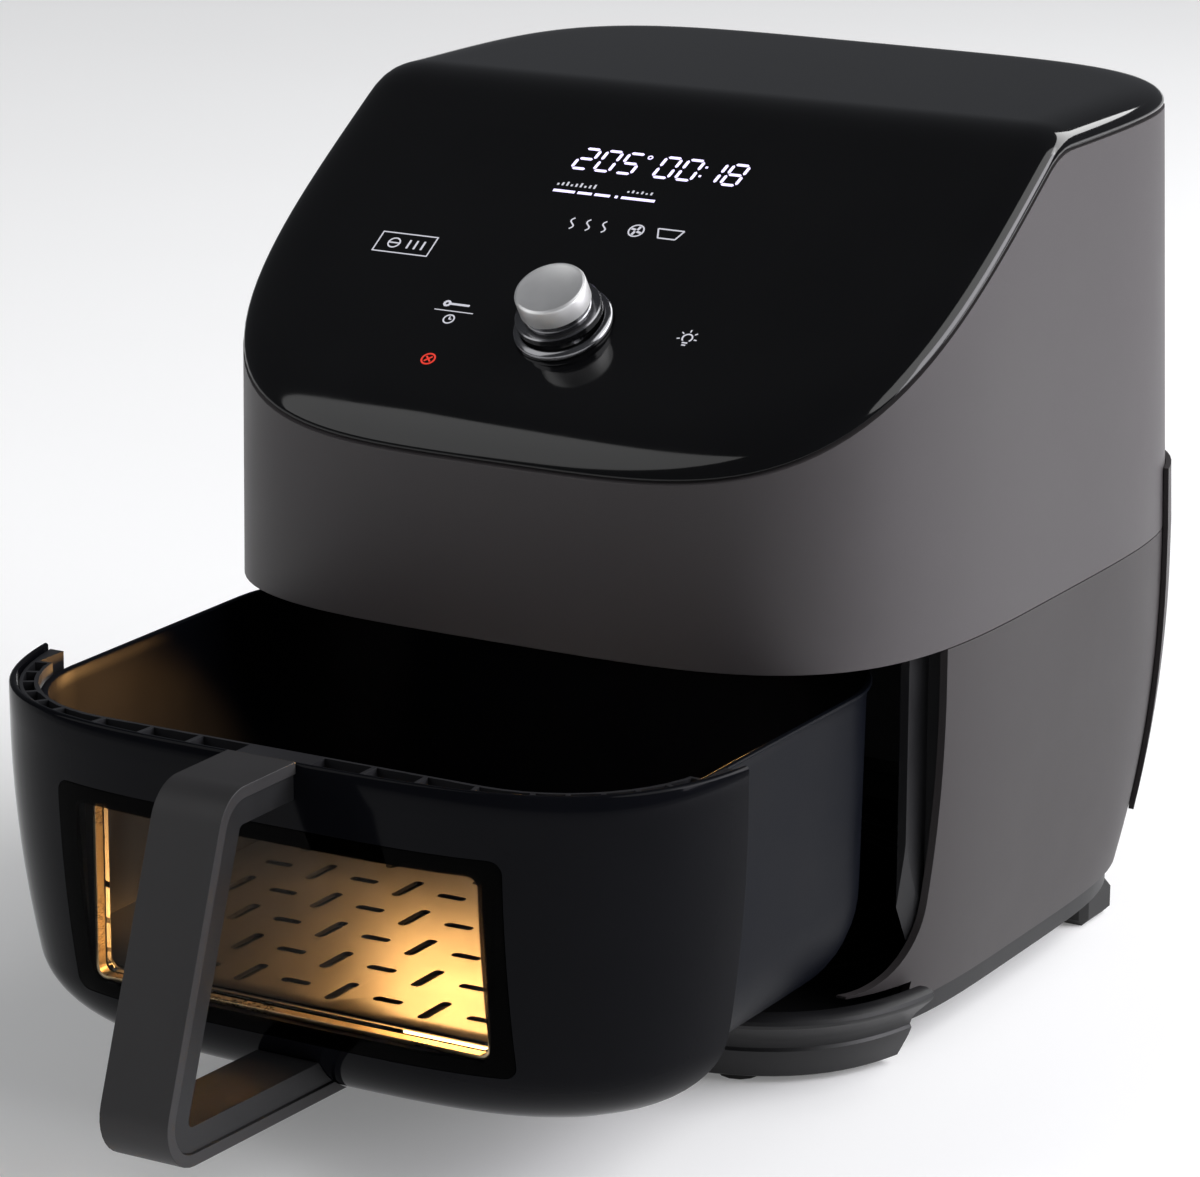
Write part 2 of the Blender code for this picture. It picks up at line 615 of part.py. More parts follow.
def make_chamber_fittings():
    lens = rod("lamp_lens", 0.0122, (LAMP_X, LAMP_Y, 0.1695), (LAMP_X, LAMP_Y, 0.1725), 12)
    place(lens, HOUSING, GLASS)
    lamp = rod("lamp", 0.0085, (LAMP_X, LAMP_Y, 0.1735), (LAMP_X, LAMP_Y, 0.1900), 10, 0.0060)
    place(lamp, HOUSING, GLASS)
    probe = rod("temperature_sensor", 0.0022, (0.108, 0.068, 0.1600), (0.108, 0.068, LINER_TOP_Z - STEEL - GAP), 8)
    place(probe, HOUSING, STEEL_LOOK)
    place(box("thermal_fuse", (-0.060, -0.006, 0.2178), (-0.044, 0.006, 0.2222)), HOUSING, CERAMIC)
    place(box("power_board", (-0.055, 0.1200, 0.1850), (0.055, 0.1216, 0.2600)), HOUSING, BOARD)
    switch = box("drawer_switch", (0.060, LINER_BACK_Y + GAP, 0.140), (0.080, LINER_BACK_Y + 0.010, 0.152))
    place(switch, HOUSING, BLACK)
    for side, name in ((-1, "left"), (1, "right")):
        x = sorted((side * 0.1334, side * 0.1354))
        rail = box("rail_" + name, (x[0], -0.078, 0.1490), (x[1], 0.080, 0.1525))
        place(rail, HOUSING, STEEL_LOOK)


# ---- drawer -------------------------------------------------------------------------------
def basket_ring(inset, z, corner_steps=5):
    return rounded_rectangle(BASKET_HALF_WIDTH - inset, BASKET_FRONT_Y + inset, BASKET_BACK_Y - inset,
                             BASKET_CORNER - inset, z, corner_steps)


def basket_bottom(clear):
    """(inset, z) of the rounded bottom from the middle up to the wall, moved out by clear."""
    rounds = [math.radians(90 - 90 * step / 5) for step in range(6)]
    return [(BASKET_TAPER + BASKET_ROUND_RUN - (BASKET_ROUND_RUN + clear) * math.cos(angle),
             BASKET_BOTTOM_Z + BASKET_ROUND_RISE - (BASKET_ROUND_RISE + clear) * math.sin(angle))
            for angle in rounds]


def make_basket():
    """Open pan with a flat lip round its top and a well rounded bottom."""
    lip = BASKET_LIP
    outside = basket_bottom(0.0)
    inside = basket_bottom(-STEEL)[::-1]
    edge = [(0.0, BASKET_TOP_Z - STEEL), (-lip, BASKET_TOP_Z - STEEL), (-lip, BASKET_TOP_Z), (STEEL, BASKET_TOP_Z)]
    basket = loft("basket_pan", [basket_ring(inset, z) for inset, z in outside + edge + inside])
    place(basket, DRAWER, ENAMEL)
    cut(basket, box("sight_hole", (-WINDOW_HALF_WIDTH, -0.16, WINDOW_LOW_Z),
                    (WINDOW_HALF_WIDTH, -0.13, WINDOW_HIGH_Z)))


def fascia_ring(z, depth=0.0):
    """The fascia's outline at a height, drawn in by depth, with its wide bottom rounding."""
    radius = FASCIA_BOTTOM_RADIUS
    drop = max(0.0, FASCIA_BOTTOM_Z + radius - z)
    inset = radius - math.sqrt(max(0.0, (radius - depth) ** 2 - drop ** 2))
    return housing_ring(tucked(z, inset), z)


def fascia_levels(depth=0.0, lowest=FASCIA_EDGE_Z, steps=6):
    """Heights from the fascia's top down its wall and round its bottom."""
    middle = FASCIA_BOTTOM_Z + FASCIA_BOTTOM_RADIUS
    reach = math.asin(min(1.0, (middle - lowest) / (FASCIA_BOTTOM_RADIUS - depth)))
    turns = [reach * step / steps for step in range(steps + 1)]
    rounds = [middle - (FASCIA_BOTTOM_RADIUS - depth) * math.sin(a) for a in turns]
    return [FASCIA_TOP_Z, TUCK_TOP_Z, 0.125, 0.100, 0.077] + rounds


def make_fascia():
    """Gloss front skin, and the pocketed rim frame between the skin and the basket."""
    outside = [fascia_ring(z) for z in fascia_levels()]
    inside = [fascia_ring(z, FASCIA_SKIN) for z in reversed(fascia_levels(FASCIA_SKIN))]
    skin = loft("fascia_skin", outside + inside, closed=True)
    place(skin, DRAWER, GLOSS)
    end_y = OPENING_Y - 0.001
    way = [(0.2, 0.0), (end_y - JAMB_RADIUS, 0.0)] + jamb_curve(end_y, 0.0365) + [(end_y, 0.3), (0.2, 0.3)]
    behind = prism("fascia_end", way, 0.2)
    cut(skin, behind)
    cut(skin, box("glass_hole", (-OUTER_GLASS_HALF_WIDTH, -0.2, OUTER_GLASS_LOW_Z),
                  (OUTER_GLASS_HALF_WIDTH, -0.12, OUTER_GLASS_HIGH_Z)))

    levels = fascia_levels()[1:8]
    glass_out = [fascia_ring(z) for z in levels]
    glass_in = [fascia_ring(z, FASCIA_SKIN) for z in reversed(levels)]
    glass = loft("window_outer", glass_out + glass_in, closed=True)
    place(glass, DRAWER, GLASS)
    keep_inside(glass, box("glass_blank", (-OUTER_GLASS_HALF_WIDTH + GAP, -0.2, OUTER_GLASS_LOW_Z + GAP),
                           (OUTER_GLASS_HALF_WIDTH - GAP, -0.12, OUTER_GLASS_HIGH_Z - GAP)))

    clear = FASCIA_SKIN + 2 * GAP
    levels = [0.1600, TUCK_TOP_Z, 0.125, 0.100, 0.077, 0.059, 0.053, 0.0475]
    rim = loft("rim_frame", [fascia_ring(z, clear) for z in levels])
    place(rim, DRAWER, BLACK)
    cut(rim, behind)
    wide = -BASKET_LIP - 0.0006
    room = basket_bottom(0.0010) + [(-0.0010, 0.1500), (wide, 0.1510), (wide, 0.170)]
    cut(rim, loft("basket_room", [basket_ring(inset, z, 6) for inset, z in room]))
    cut(rim, box("post_room", (-0.1394, -0.104, 0.0), (0.1394, 0.1, 0.3)))
    cut(rim, box("sight_tunnel", (-0.0900, -0.2, 0.0580), (0.0900, 0.0, 0.1370)))
    for step in range(-4, 5):
        if step:
            x = step * 0.0215
            front = front_y(abs(x) + 0.008, (clear, clear)) + 0.0018
            cut(rim, box("rim_pocket", (x - 0.008, front, 0.1450), (x + 0.008, -0.1508, 0.2)))


def make_window():
    """Flat inner pane in the basket's wall, and its thin bright metal frame."""
    pane = box("window_inner", (-WINDOW_HALF_WIDTH + GAP, BASKET_FRONT_Y + 0.0001, WINDOW_LOW_Z + GAP),
               (WINDOW_HALF_WIDTH - GAP, BASKET_FRONT_Y + 0.0030, WINDOW_HIGH_Z - GAP))
    place(pane, DRAWER, GLASS)
    frame = box("window_frame", (-0.0850, BASKET_FRONT_Y - 0.0015, 0.0605), (0.0850, BASKET_FRONT_Y - GAP, 0.1330))
    place(frame, DRAWER, BRASSY)
    cut(frame, box("frame_sight", (-0.0785, -0.2, 0.0665), (0.0785, 0.0, 0.1270)))


def make_handle():
    middle = HANDLE_THICKNESS / 2
    outer = offset_path(HANDLE_PATH, HANDLE_BENDS, middle)
    split_out = offset_path(HANDLE_PATH, HANDLE_BENDS, HANDLE_SPLIT + GAP / 2)
    split_in = offset_path(HANDLE_PATH, HANDLE_BENDS, HANDLE_SPLIT - GAP / 2)
    inner = offset_path(HANDLE_PATH, HANDLE_BENDS, -middle)
    shells = (prism("handle_outer", outer + split_out[::-1], HANDLE_WIDTH / 2),
              prism("handle_inner", split_in + inner[::-1], HANDLE_WIDTH / 2 - 0.001))
    for shell, look in zip(shells, (GREY, BLACK)):
        place(shell, DRAWER, look)
        seat_levels = fascia_levels(-GAP, FASCIA_BOTTOM_Z - GAP)
        cut(shell, loft("handle_seat", [fascia_ring(z, -GAP) for z in seat_levels]))


def make_crisper_plate():
    """Lift-out plate with slots, on four rubber bumpers at its rounded corners."""
    inset, low, high = 0.0125, 0.0600, 0.0616
    ring = [rounded_rectangle(BASKET_HALF_WIDTH - inset, BASKET_FRONT_Y + inset, BASKET_BACK_Y - inset,
                              BASKET_CORNER - inset, z, 4) for z in (low, high)]
    plate = loft("crisper_plate", ring)
    place(plate, DRAWER, ENAMEL)
    middle = (BASKET_FRONT_Y + BASKET_BACK_Y) / 2
    for column in range(-4, 5):
        for row in (-1, 1):
            x, y = column * 0.023, middle + row * 0.042
            cut(plate, box("plate_slot", (x - 0.003, y - 0.026, 0.05), (x + 0.003, y + 0.026, 0.07)))
    number = 0
    for x in (-0.1060, 0.1060):
        for y in (BASKET_FRONT_Y + 0.0265, BASKET_BACK_Y - 0.0265):
            number += 1
            bumper = rod("plate_bumper_%d" % number, 0.0050, (x, y, low - 0.0070), (x, y, low - GAP), 10)
            place(bumper, DRAWER, RUBBER)


COLLECTIONS = {}
start_scene()

MATTE = material("housing_charcoal", (0.055, 0.051, 0.053), 0.42)
GLOSS = material("gloss_black", (0.004, 0.004, 0.005), 0.06)
BLACK = material("black_plastic", (0.010, 0.010, 0.011), 0.45)
GREY = material("handle_grey", (0.045, 0.044, 0.045), 0.50)
RUBBER = material("rubber_black", (0.014, 0.014, 0.014), 0.75)
ENAMEL = material("basket_coating", (0.010, 0.011, 0.016), 0.35)
STEEL_LOOK = material("steel", (0.50, 0.50, 0.51), 0.30, 1.0)
ALUMINIUM = material("aluminium", (0.66, 0.65, 0.65), 0.32, 1.0)
CHROME = material("chrome", (0.72, 0.72, 0.74), 0.08, 1.0)
DARK_CHROME = material("dark_chrome", (0.10, 0.10, 0.11), 0.12, 1.0)
BRASSY = material("window_metal", (0.42, 0.34, 0.20), 0.28, 1.0)
GLASS = material("glass_smoked", (0.05, 0.045, 0.04), 0.03)
LED = material("led_white", (0.80, 0.78, 0.95), 0.40)
ELEMENT = material("element_steel", (0.20, 0.19, 0.18), 0.40, 1.0)
CERAMIC = material("ceramic_white", (0.75, 0.74, 0.70), 0.50)
BOARD = material("circuit_board", (0.02, 0.10, 0.05), 0.50)

PLAN = half_plan()
LAMP_X, LAMP_Y = -0.120, 0.050
DIAL_SURFACE_Z = seam_height(DIAL_Y) + PANEL_RISE

HANDLE_FRONT_Y = min(point.x for point in offset_path(HANDLE_PATH, HANDLE_BENDS, HANDLE_THICKNESS / 2))
HOUSING_Y = (DRAWER_OUT - HANDLE_FRONT_Y - REAR_Y) / 2

HOUSING = empty("housing_frame", None, (0, HOUSING_Y, 0))
DRAWER = empty("drawer_slide", HOUSING, (0, -DRAWER_OUT, 0))
DIAL = empty("dial_axis", HOUSING, (0, DIAL_Y, DIAL_SURFACE_Z), PANEL_TILT)
FAN = empty("fan_axis", HOUSING, (0, FAN_Y, 0))

make_upper_housing()
make_lower_housing()
make_front_frame()
make_base_pan()
make_feet()
make_rear_cover()
make_exhaust_grille()
make_cord_gland()
make_control_panel()
make_dial()
make_chamber_liner()
make_heater()
make_motor()
make_chamber_fittings()
make_basket()
make_fascia()
make_window()
make_handle()
make_crisper_plate()
bpy.context.view_layer.update()
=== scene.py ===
"""Looks of the air fryer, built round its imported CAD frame.

Metres, +X to the right, +Y to the back, +Z up. Pieces are drawn in the housing's own frame and moved
along Y to where the CAD has them. Housing pieces use HOUSING_Y, drawer pieces use DRAWER_Y.
"""
import json
import math

import bmesh
import bpy
from mathutils import Matrix, Vector


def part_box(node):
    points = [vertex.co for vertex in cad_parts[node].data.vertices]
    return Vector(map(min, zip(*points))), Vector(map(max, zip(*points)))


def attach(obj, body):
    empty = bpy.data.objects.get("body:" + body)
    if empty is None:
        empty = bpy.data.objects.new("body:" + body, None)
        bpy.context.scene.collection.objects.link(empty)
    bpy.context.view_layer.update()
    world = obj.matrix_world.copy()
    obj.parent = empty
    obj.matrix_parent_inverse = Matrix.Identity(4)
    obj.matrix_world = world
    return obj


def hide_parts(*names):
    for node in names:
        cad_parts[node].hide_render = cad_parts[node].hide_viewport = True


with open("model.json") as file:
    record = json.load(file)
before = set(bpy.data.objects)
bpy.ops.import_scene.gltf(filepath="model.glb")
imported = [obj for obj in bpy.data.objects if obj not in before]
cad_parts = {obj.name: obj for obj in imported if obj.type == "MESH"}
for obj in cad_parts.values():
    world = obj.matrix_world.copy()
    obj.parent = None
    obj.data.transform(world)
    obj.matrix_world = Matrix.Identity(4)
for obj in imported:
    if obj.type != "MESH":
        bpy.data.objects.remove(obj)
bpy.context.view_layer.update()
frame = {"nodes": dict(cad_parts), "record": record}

# ---- dimensions, as in the CAD ----
HALF_WIDTH, HALF_DEPTH = 0.1525, 0.1658
FRONT_POWER, BACK_POWER = 3.87, 4.49
SEAM_Z, FRONT_TOP_Z, TOP_Z = 0.1654, 0.2319, 0.336
PANEL_TILT = math.radians(32.8)
PANEL_BEND_RADIUS, PANEL_RISE, PANEL_EDGE, PANEL_FULLNESS = 0.035, 0.0095, 0.022, 0.75
SHELL, GAP = 0.0028, 0.0003
TUCK_TOP_Z, TUCK_BOTTOM_Z, TUCK_X, TUCK_Y = 0.150, 0.022, 0.013, 0.018
HOUSING_FOOT_Z, LEAN_X, LEAN_BACK = 0.0245, 0.0025, 0.0125
OPENING_Y, JAMB_RADIUS = -0.0885, 0.030
FASCIA_TOP_Z, FASCIA_EDGE_Z, FASCIA_BOTTOM_Z = 0.162, 0.0336, 0.031
FASCIA_RADIUS, FASCIA_SKIN = 0.028, 0.0025
BASKET_HALF_WIDTH, BASKET_FRONT_Y, BASKET_BACK_Y = 0.1325, -0.1465, 0.072
BASKET_TOP_Z, BASKET_BOTTOM_Z, BASKET_CORNER = 0.156, 0.036, 0.054
BASKET_RUN, BASKET_RISE, BASKET_TAPER, BASKET_LIP, STEEL = 0.034, 0.042, 0.0015, 0.002, 0.0012
FAN_Y = -0.030
DIAL_Y = -0.114
HANDLE_PATH = [(-0.1600, 0.1560), (-0.2037, 0.1560), (-0.2433, 0.0445), (-0.1300, 0.0405)]
HANDLE_BEND, HANDLE_THICKNESS, HANDLE_SPLIT, HANDLE_WIDTH = 0.0095, 0.014, 0.0022, 0.028
SIGHT = ((-0.0815, 0.0635), (0.0815, 0.1300))
RIDGES, RIDGE_Y, FLOOR_TOP_Z = (0.0900, 0.0977, 0.1099), 0.005, 0.0195
GLAND, GLAND_RADIUS = (0.07, 0.075), 0.0083
VENT_Z, CAMERA_ROLL = 0.2450, math.radians(0.19)
PANEL_BEND_Y = -HALF_DEPTH + (TOP_Z - FRONT_TOP_Z) / math.tan(PANEL_TILT)
PANEL_BEND_RUN = PANEL_BEND_RADIUS * math.tan(PANEL_TILT / 2)

HOUSING_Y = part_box("upper_housing")[0].y + HALF_DEPTH
DRAWER_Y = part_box("fascia_skin")[0].y + HALF_DEPTH


# ---- making pieces ----
def link(obj):
    bpy.context.scene.collection.objects.link(obj)
    return obj


def from_bmesh(name, bm):
    bmesh.ops.recalc_face_normals(bm, faces=bm.faces)
    mesh = bpy.data.meshes.new(name)
    bm.to_mesh(mesh)
    bm.free()
    return link(bpy.data.objects.new(name, mesh))


def box(name, low, high):
    bm = bmesh.new()
    bmesh.ops.create_cube(bm, size=1.0)
    bmesh.ops.scale(bm, vec=[h - l for l, h in zip(low, high)], verts=bm.verts)
    bmesh.ops.translate(bm, vec=[(h + l) / 2 for l, h in zip(low, high)], verts=bm.verts)
    return from_bmesh(name, bm)


def rod(name, radius, start, end, sides=32):
    start, end = Vector(start), Vector(end)
    bm = bmesh.new()
    turn = Vector((0, 0, 1)).rotation_difference(end - start).to_matrix().to_4x4()
    bmesh.ops.create_cone(bm, cap_ends=True, segments=sides, radius1=radius, radius2=radius,
                          depth=(end - start).length, matrix=Matrix.Translation((start + end) / 2) @ turn)
    return from_bmesh(name, bm)


def turned(name, profile, sides=64, where=None):
    """A closed (radius, z) profile turned about Z, then moved by a matrix."""
    bm = bmesh.new()
    rows = []
    for r, z in profile:
        if r < 1e-6:
            rows.append([bm.verts.new((0, 0, z))] * sides)
        else:
            spin = [2 * math.pi * k / sides for k in range(sides)]
            rows.append([bm.verts.new((r * math.cos(a), r * math.sin(a), z)) for a in spin])
    for first, second in zip(rows, rows[1:] + rows[:1]):
        for k in range(sides):
            j = (k + 1) % sides
            corners = list(dict.fromkeys((first[k], first[j], second[j], second[k])))
            if len(corners) > 2:
                bm.faces.new(corners)
    if where is not None:
        bmesh.ops.transform(bm, matrix=where, verts=bm.verts)
    return from_bmesh(name, bm)


def prism(name, outline, low, high, axis="X"):
    """A closed outline in the plane across an axis, from low to high along it."""
    place = {"X": lambda a, b, c: (c, a, b), "Y": lambda a, b, c: (a, c, b),
             "Z": lambda a, b, c: (a, b, c)}[axis]
    bm = bmesh.new()
    rows = [[bm.verts.new(place(a, b, c)) for a, b in outline] for c in (low, high)]
    for row in rows:
        bm.faces.new(row)
    for i in range(len(outline)):
        j = (i + 1) % len(outline)
        bm.faces.new((rows[0][i], rows[0][j], rows[1][j], rows[1][i]))
    return from_bmesh(name, bm)


def loft(name, rings, closed=False):
    """Skin a row of rings, closed on itself or capped across from side to side."""
    bm = bmesh.new()
    rows = [[bm.verts.new(point) for point in ring] for ring in rings]
    count = len(rows[0])
    for lower, upper in list(zip(rows, rows[1:])) + ([(rows[-1], rows[0])] if closed else []):
        for i in range(count):
            j = (i + 1) % count
            bm.faces.new((lower[i], lower[j], upper[j], upper[i]))
    for row in () if closed else (rows[0], rows[-1]):
        if max(v.co.z for v in row) - min(v.co.z for v in row) < GAP:
            bm.faces.new(row)
            continue
        for i in range(count // 2):
            across = [row[i], row[i + 1], row[(count - i - 1) % count], row[(count - i) % count]]
            bm.faces.new(list(dict.fromkeys(across)))
    return from_bmesh(name, bm)


def tube(name, points, radius, sides=12):
    """A round bar along points, with closed ends."""
    bm = bmesh.new()
    rows, side = [], Vector((0, 0, 1))
    for i, point in enumerate(points):
        ahead = (Vector(points[min(i + 1, len(points) - 1)]) - Vector(points[max(i - 1, 0)])).normalized()
        side = (side - ahead * side.dot(ahead))
        side = side.normalized() if side.length > 1e-4 else ahead.orthogonal().normalized()
        other = ahead.cross(side)
        spin = [2 * math.pi * k / sides for k in range(sides)]
        rows.append([bm.verts.new(Vector(point) + (side * math.cos(a) + other * math.sin(a)) * radius)
                     for a in spin])
    for first, second in zip(rows, rows[1:]):
        for k in range(sides):
            j = (k + 1) % sides
            bm.faces.new((first[k], first[j], second[j], second[k]))
    bm.faces.new(rows[0])
    bm.faces.new(rows[-1])
    return from_bmesh(name, bm)


def rounded_box_outline(low, high, radius, steps=5):
    """Outline of a rounded rectangle in its plane."""
    (a0, b0), (a1, b1) = low, high
    points = []
    for (ca, cb), start in (((a1 - radius, b0 + radius), -90), ((a1 - radius, b1 - radius), 0),
                            ((a0 + radius, b1 - radius), 90), ((a0 + radius, b0 + radius), 180)):
        for step in range(steps + 1):
            angle = math.radians(start + 90 * step / steps)
            points.append((ca + radius * math.cos(angle), cb + radius * math.sin(angle)))
    return points


def combine(obj, operation, *tools):
    """Boolean with tools that are used up."""
    for tool in tools:
        step = obj.modifiers.new(tool.name, "BOOLEAN")
        step.operation, step.object, step.solver = operation, tool, "EXACT"
    bpy.context.view_layer.update()
    made = bpy.data.meshes.new_from_object(obj.evaluated_get(bpy.context.evaluated_depsgraph_get()))
    obj.modifiers.clear()
    obj.data = made
    for tool in tools:
        bpy.data.objects.remove(tool)
    return obj


def cut(obj, *tools):
    return combine(obj, "DIFFERENCE", *tools)


def join(obj, *others):
    """Put several bodies in one piece's mesh."""
    bm = bmesh.new()
    for each in (obj, *others):
        each.data.transform(each.matrix_world)
        bm.from_mesh(each.data)
    obj.matrix_world = Matrix.Identity(4)
    for other in others:
        bpy.data.objects.remove(other)
    bm.to_mesh(obj.data)
    bm.free()
    return obj


def soften(obj, width, steps=2, angle=40):
    step = obj.modifiers.new("soft_edges", "BEVEL")
    step.width, step.segments = width, steps
    step.limit_method, step.angle_limit = "ANGLE", math.radians(angle)
    step.harden_normals = True
    step.miter_outer = "MITER_ARC"
    return obj


def finish_piece(obj, body, look, shift=0.0, stands_for=(), edge=0.0, sharp=38, steps=2):
    """Move a piece to its place, shade it, give it its look and let it ride on its body."""
    obj.data.transform(Matrix.Translation((0, shift, 0)))
    obj.data.shade_smooth()
    obj.data.set_sharp_from_angle(angle=math.radians(sharp))
    obj.data.materials.clear()
    obj.data.materials.append(look)
    if edge:
        soften(obj, edge, steps)
    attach(obj, body)
    if stands_for:
        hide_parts(*([stands_for] if isinstance(stands_for, str) else stands_for))
    return obj


# ---- shape helpers ----
def unit_plan(count=192):
    """Points round a unit superellipse from its front middle."""
    points = []
    for k in range(count):
        turn = 2 * math.pi * k / count
        c, s = math.sin(turn), -math.cos(turn)
        n = FRONT_POWER if s < 0 else BACK_POWER
        r = (abs(c) ** n + abs(s) ** n) ** (-1 / n)
        points.append((c * r, s * r))
    return points


PLAN = unit_plan()


def housing_ring(inset, height, plan=None):
    a, b = HALF_WIDTH - inset[0], HALF_DEPTH - inset[1]
    ring = []
    for u, v in plan or PLAN:
        z = height(v * b) if callable(height) else height
        lean = lean_share(z)
        ring.append(Vector((u * (a - LEAN_X * lean), v * (b - (LEAN_BACK * lean if v > 0 else 0.0)), z)))
    return ring


def lean_share(z):
    return max(0.0, z - SEAM_Z) / (TOP_Z - SEAM_Z)


def tucked(z, more=0.0):
    share = min(1.0, max(0.0, (TUCK_TOP_Z - z) / (TUCK_TOP_Z - TUCK_BOTTOM_Z))) ** 2
    return TUCK_X * share + more, TUCK_Y * share + more


def seam_height(y):
    bend_end = PANEL_BEND_Y + PANEL_BEND_RUN
    if y >= bend_end:
        return TOP_Z
    if y <= PANEL_BEND_Y - PANEL_BEND_RUN * math.cos(PANEL_TILT):
        return FRONT_TOP_Z + (y + HALF_DEPTH) * math.tan(PANEL_TILT)
    return TOP_Z - PANEL_BEND_RADIUS + math.sqrt(PANEL_BEND_RADIUS ** 2 - (y - bend_end) ** 2)


def levels(high, low, steps):
    return [high + (low - high) * step / steps for step in range(steps + 1)]


def jamb_curve(back, low, steps=14):
    turns = [math.radians(90 * step / steps) for step in range(steps + 1)]
    return [(back - JAMB_RADIUS * (1 - math.sin(a)), low + JAMB_RADIUS * (1 - math.cos(a))) for a in turns]


def fascia_ring(z, depth=0.0):
    drop = max(0.0, FASCIA_BOTTOM_Z + FASCIA_RADIUS - z)
    inset = FASCIA_RADIUS - math.sqrt(max(0.0, (FASCIA_RADIUS - depth) ** 2 - drop ** 2))
    return housing_ring(tucked(z, inset), z)


def fascia_levels(depth=0.0, lowest=FASCIA_EDGE_Z, steps=12):
    middle = FASCIA_BOTTOM_Z + FASCIA_RADIUS
    reach = math.asin(min(1.0, (middle - lowest) / (FASCIA_RADIUS - depth)))
    rounds = [middle - (FASCIA_RADIUS - depth) * math.sin(reach * step / steps) for step in range(steps + 1)]
    return [0.150, 0.140, 0.130, 0.120, 0.110, 0.100, 0.090, 0.080, 0.069] + rounds


def basket_ring(inset, z, corner_steps=12):
    half_width, radius = BASKET_HALF_WIDTH - inset, BASKET_CORNER - inset
    front, back = BASKET_FRONT_Y + inset, BASKET_BACK_Y - inset
    half = [(0.0, front)]
    for corner_y, start in ((front + radius, -90), (back - radius, 0)):
        for step in range(corner_steps + 1):
            angle = math.radians(start + 90 * step / corner_steps)
            half.append((half_width - radius + radius * math.cos(angle), corner_y + radius * math.sin(angle)))
    half.append((0.0, back))
    return [Vector((x, y, z)) for x, y in half + [(-x, y) for x, y in reversed(half[1:-1])]]


def basket_bottom(clear, steps=12):
    rounds = [math.radians(90 - 90 * step / steps) for step in range(steps + 1)]
    return [(BASKET_TAPER + BASKET_RUN - (BASKET_RUN + clear) * math.cos(a),
             BASKET_BOTTOM_Z + BASKET_RISE - (BASKET_RISE + clear) * math.sin(a)) for a in rounds]


def handle_line(offset, steps=10):
    """The handle's middle line in the side view moved outwards by offset, with rounded bends."""
    sides = []
    for (y0, z0), (y1, z1) in zip(HANDLE_PATH, HANDLE_PATH[1:]):
        along = Vector((y1 - y0, z1 - z0)).normalized()
        sides.append((Vector((y0, z0)) + Vector((along.y, -along.x)) * offset, along))
    points = [sides[0][0]]
    for (start, along), (after, turn) in zip(sides, sides[1:]):
        cross = along.x * turn.y - along.y * turn.x
        corner = start + along * (((after - start).x * turn.y - (after - start).y * turn.x) / cross)
        radius = HANDLE_BEND + offset
        angle = math.acos(along.dot(turn))
        inward = Vector((-along.y, along.x))
        centre = corner - along * radius * math.tan(angle / 2) + inward * radius
        for step in range(steps + 1):
            swing = angle * step / steps
            points.append(centre + (-inward * math.cos(swing) + along * math.sin(swing)) * radius)
    start, along = sides[-1]
    points.append(start + along * (Vector(HANDLE_PATH[-1]) - start).dot(along))
    return points


# ---- materials ----
def new_look(name):
    made = bpy.data.materials.new(name)
    made.use_nodes = True
    return made, made.node_tree.nodes, made.node_tree.links, made.node_tree.nodes["Principled BSDF"]


def noise(nodes, links, where, scale, detail=3.0, rough=0.55):
    made = nodes.new("ShaderNodeTexNoise")
    put(made, Scale=scale, Detail=detail, Roughness=rough)
    links.new(where, made.inputs["Vector"])
    return made.outputs["Fac"]


def spread(nodes, links, value, low, high, span=(0.3, 0.7)):
    """Stretch a 0..1 pattern over low..high."""
    made = nodes.new("ShaderNodeMapRange")
    put(made, From_Min=span[0], From_Max=span[1], To_Min=low, To_Max=high)
    links.new(value, made.inputs["Value"])
    return made.outputs["Result"]


def two_tone(nodes, links, factor, first, second):
    made = nodes.new("ShaderNodeMix")
    made.data_type = "RGBA"
    put(made, A=(*first, 1.0), B=(*second, 1.0))
    links.new(factor, made.inputs["Factor"])
    return made.outputs["Result"]


def put(shader, **values):
    """Set plain numbers on a shader's sockets, with spaces for underscores."""
    for name, value in values.items():
        shader.inputs[name.replace("_", " ")].default_value = value


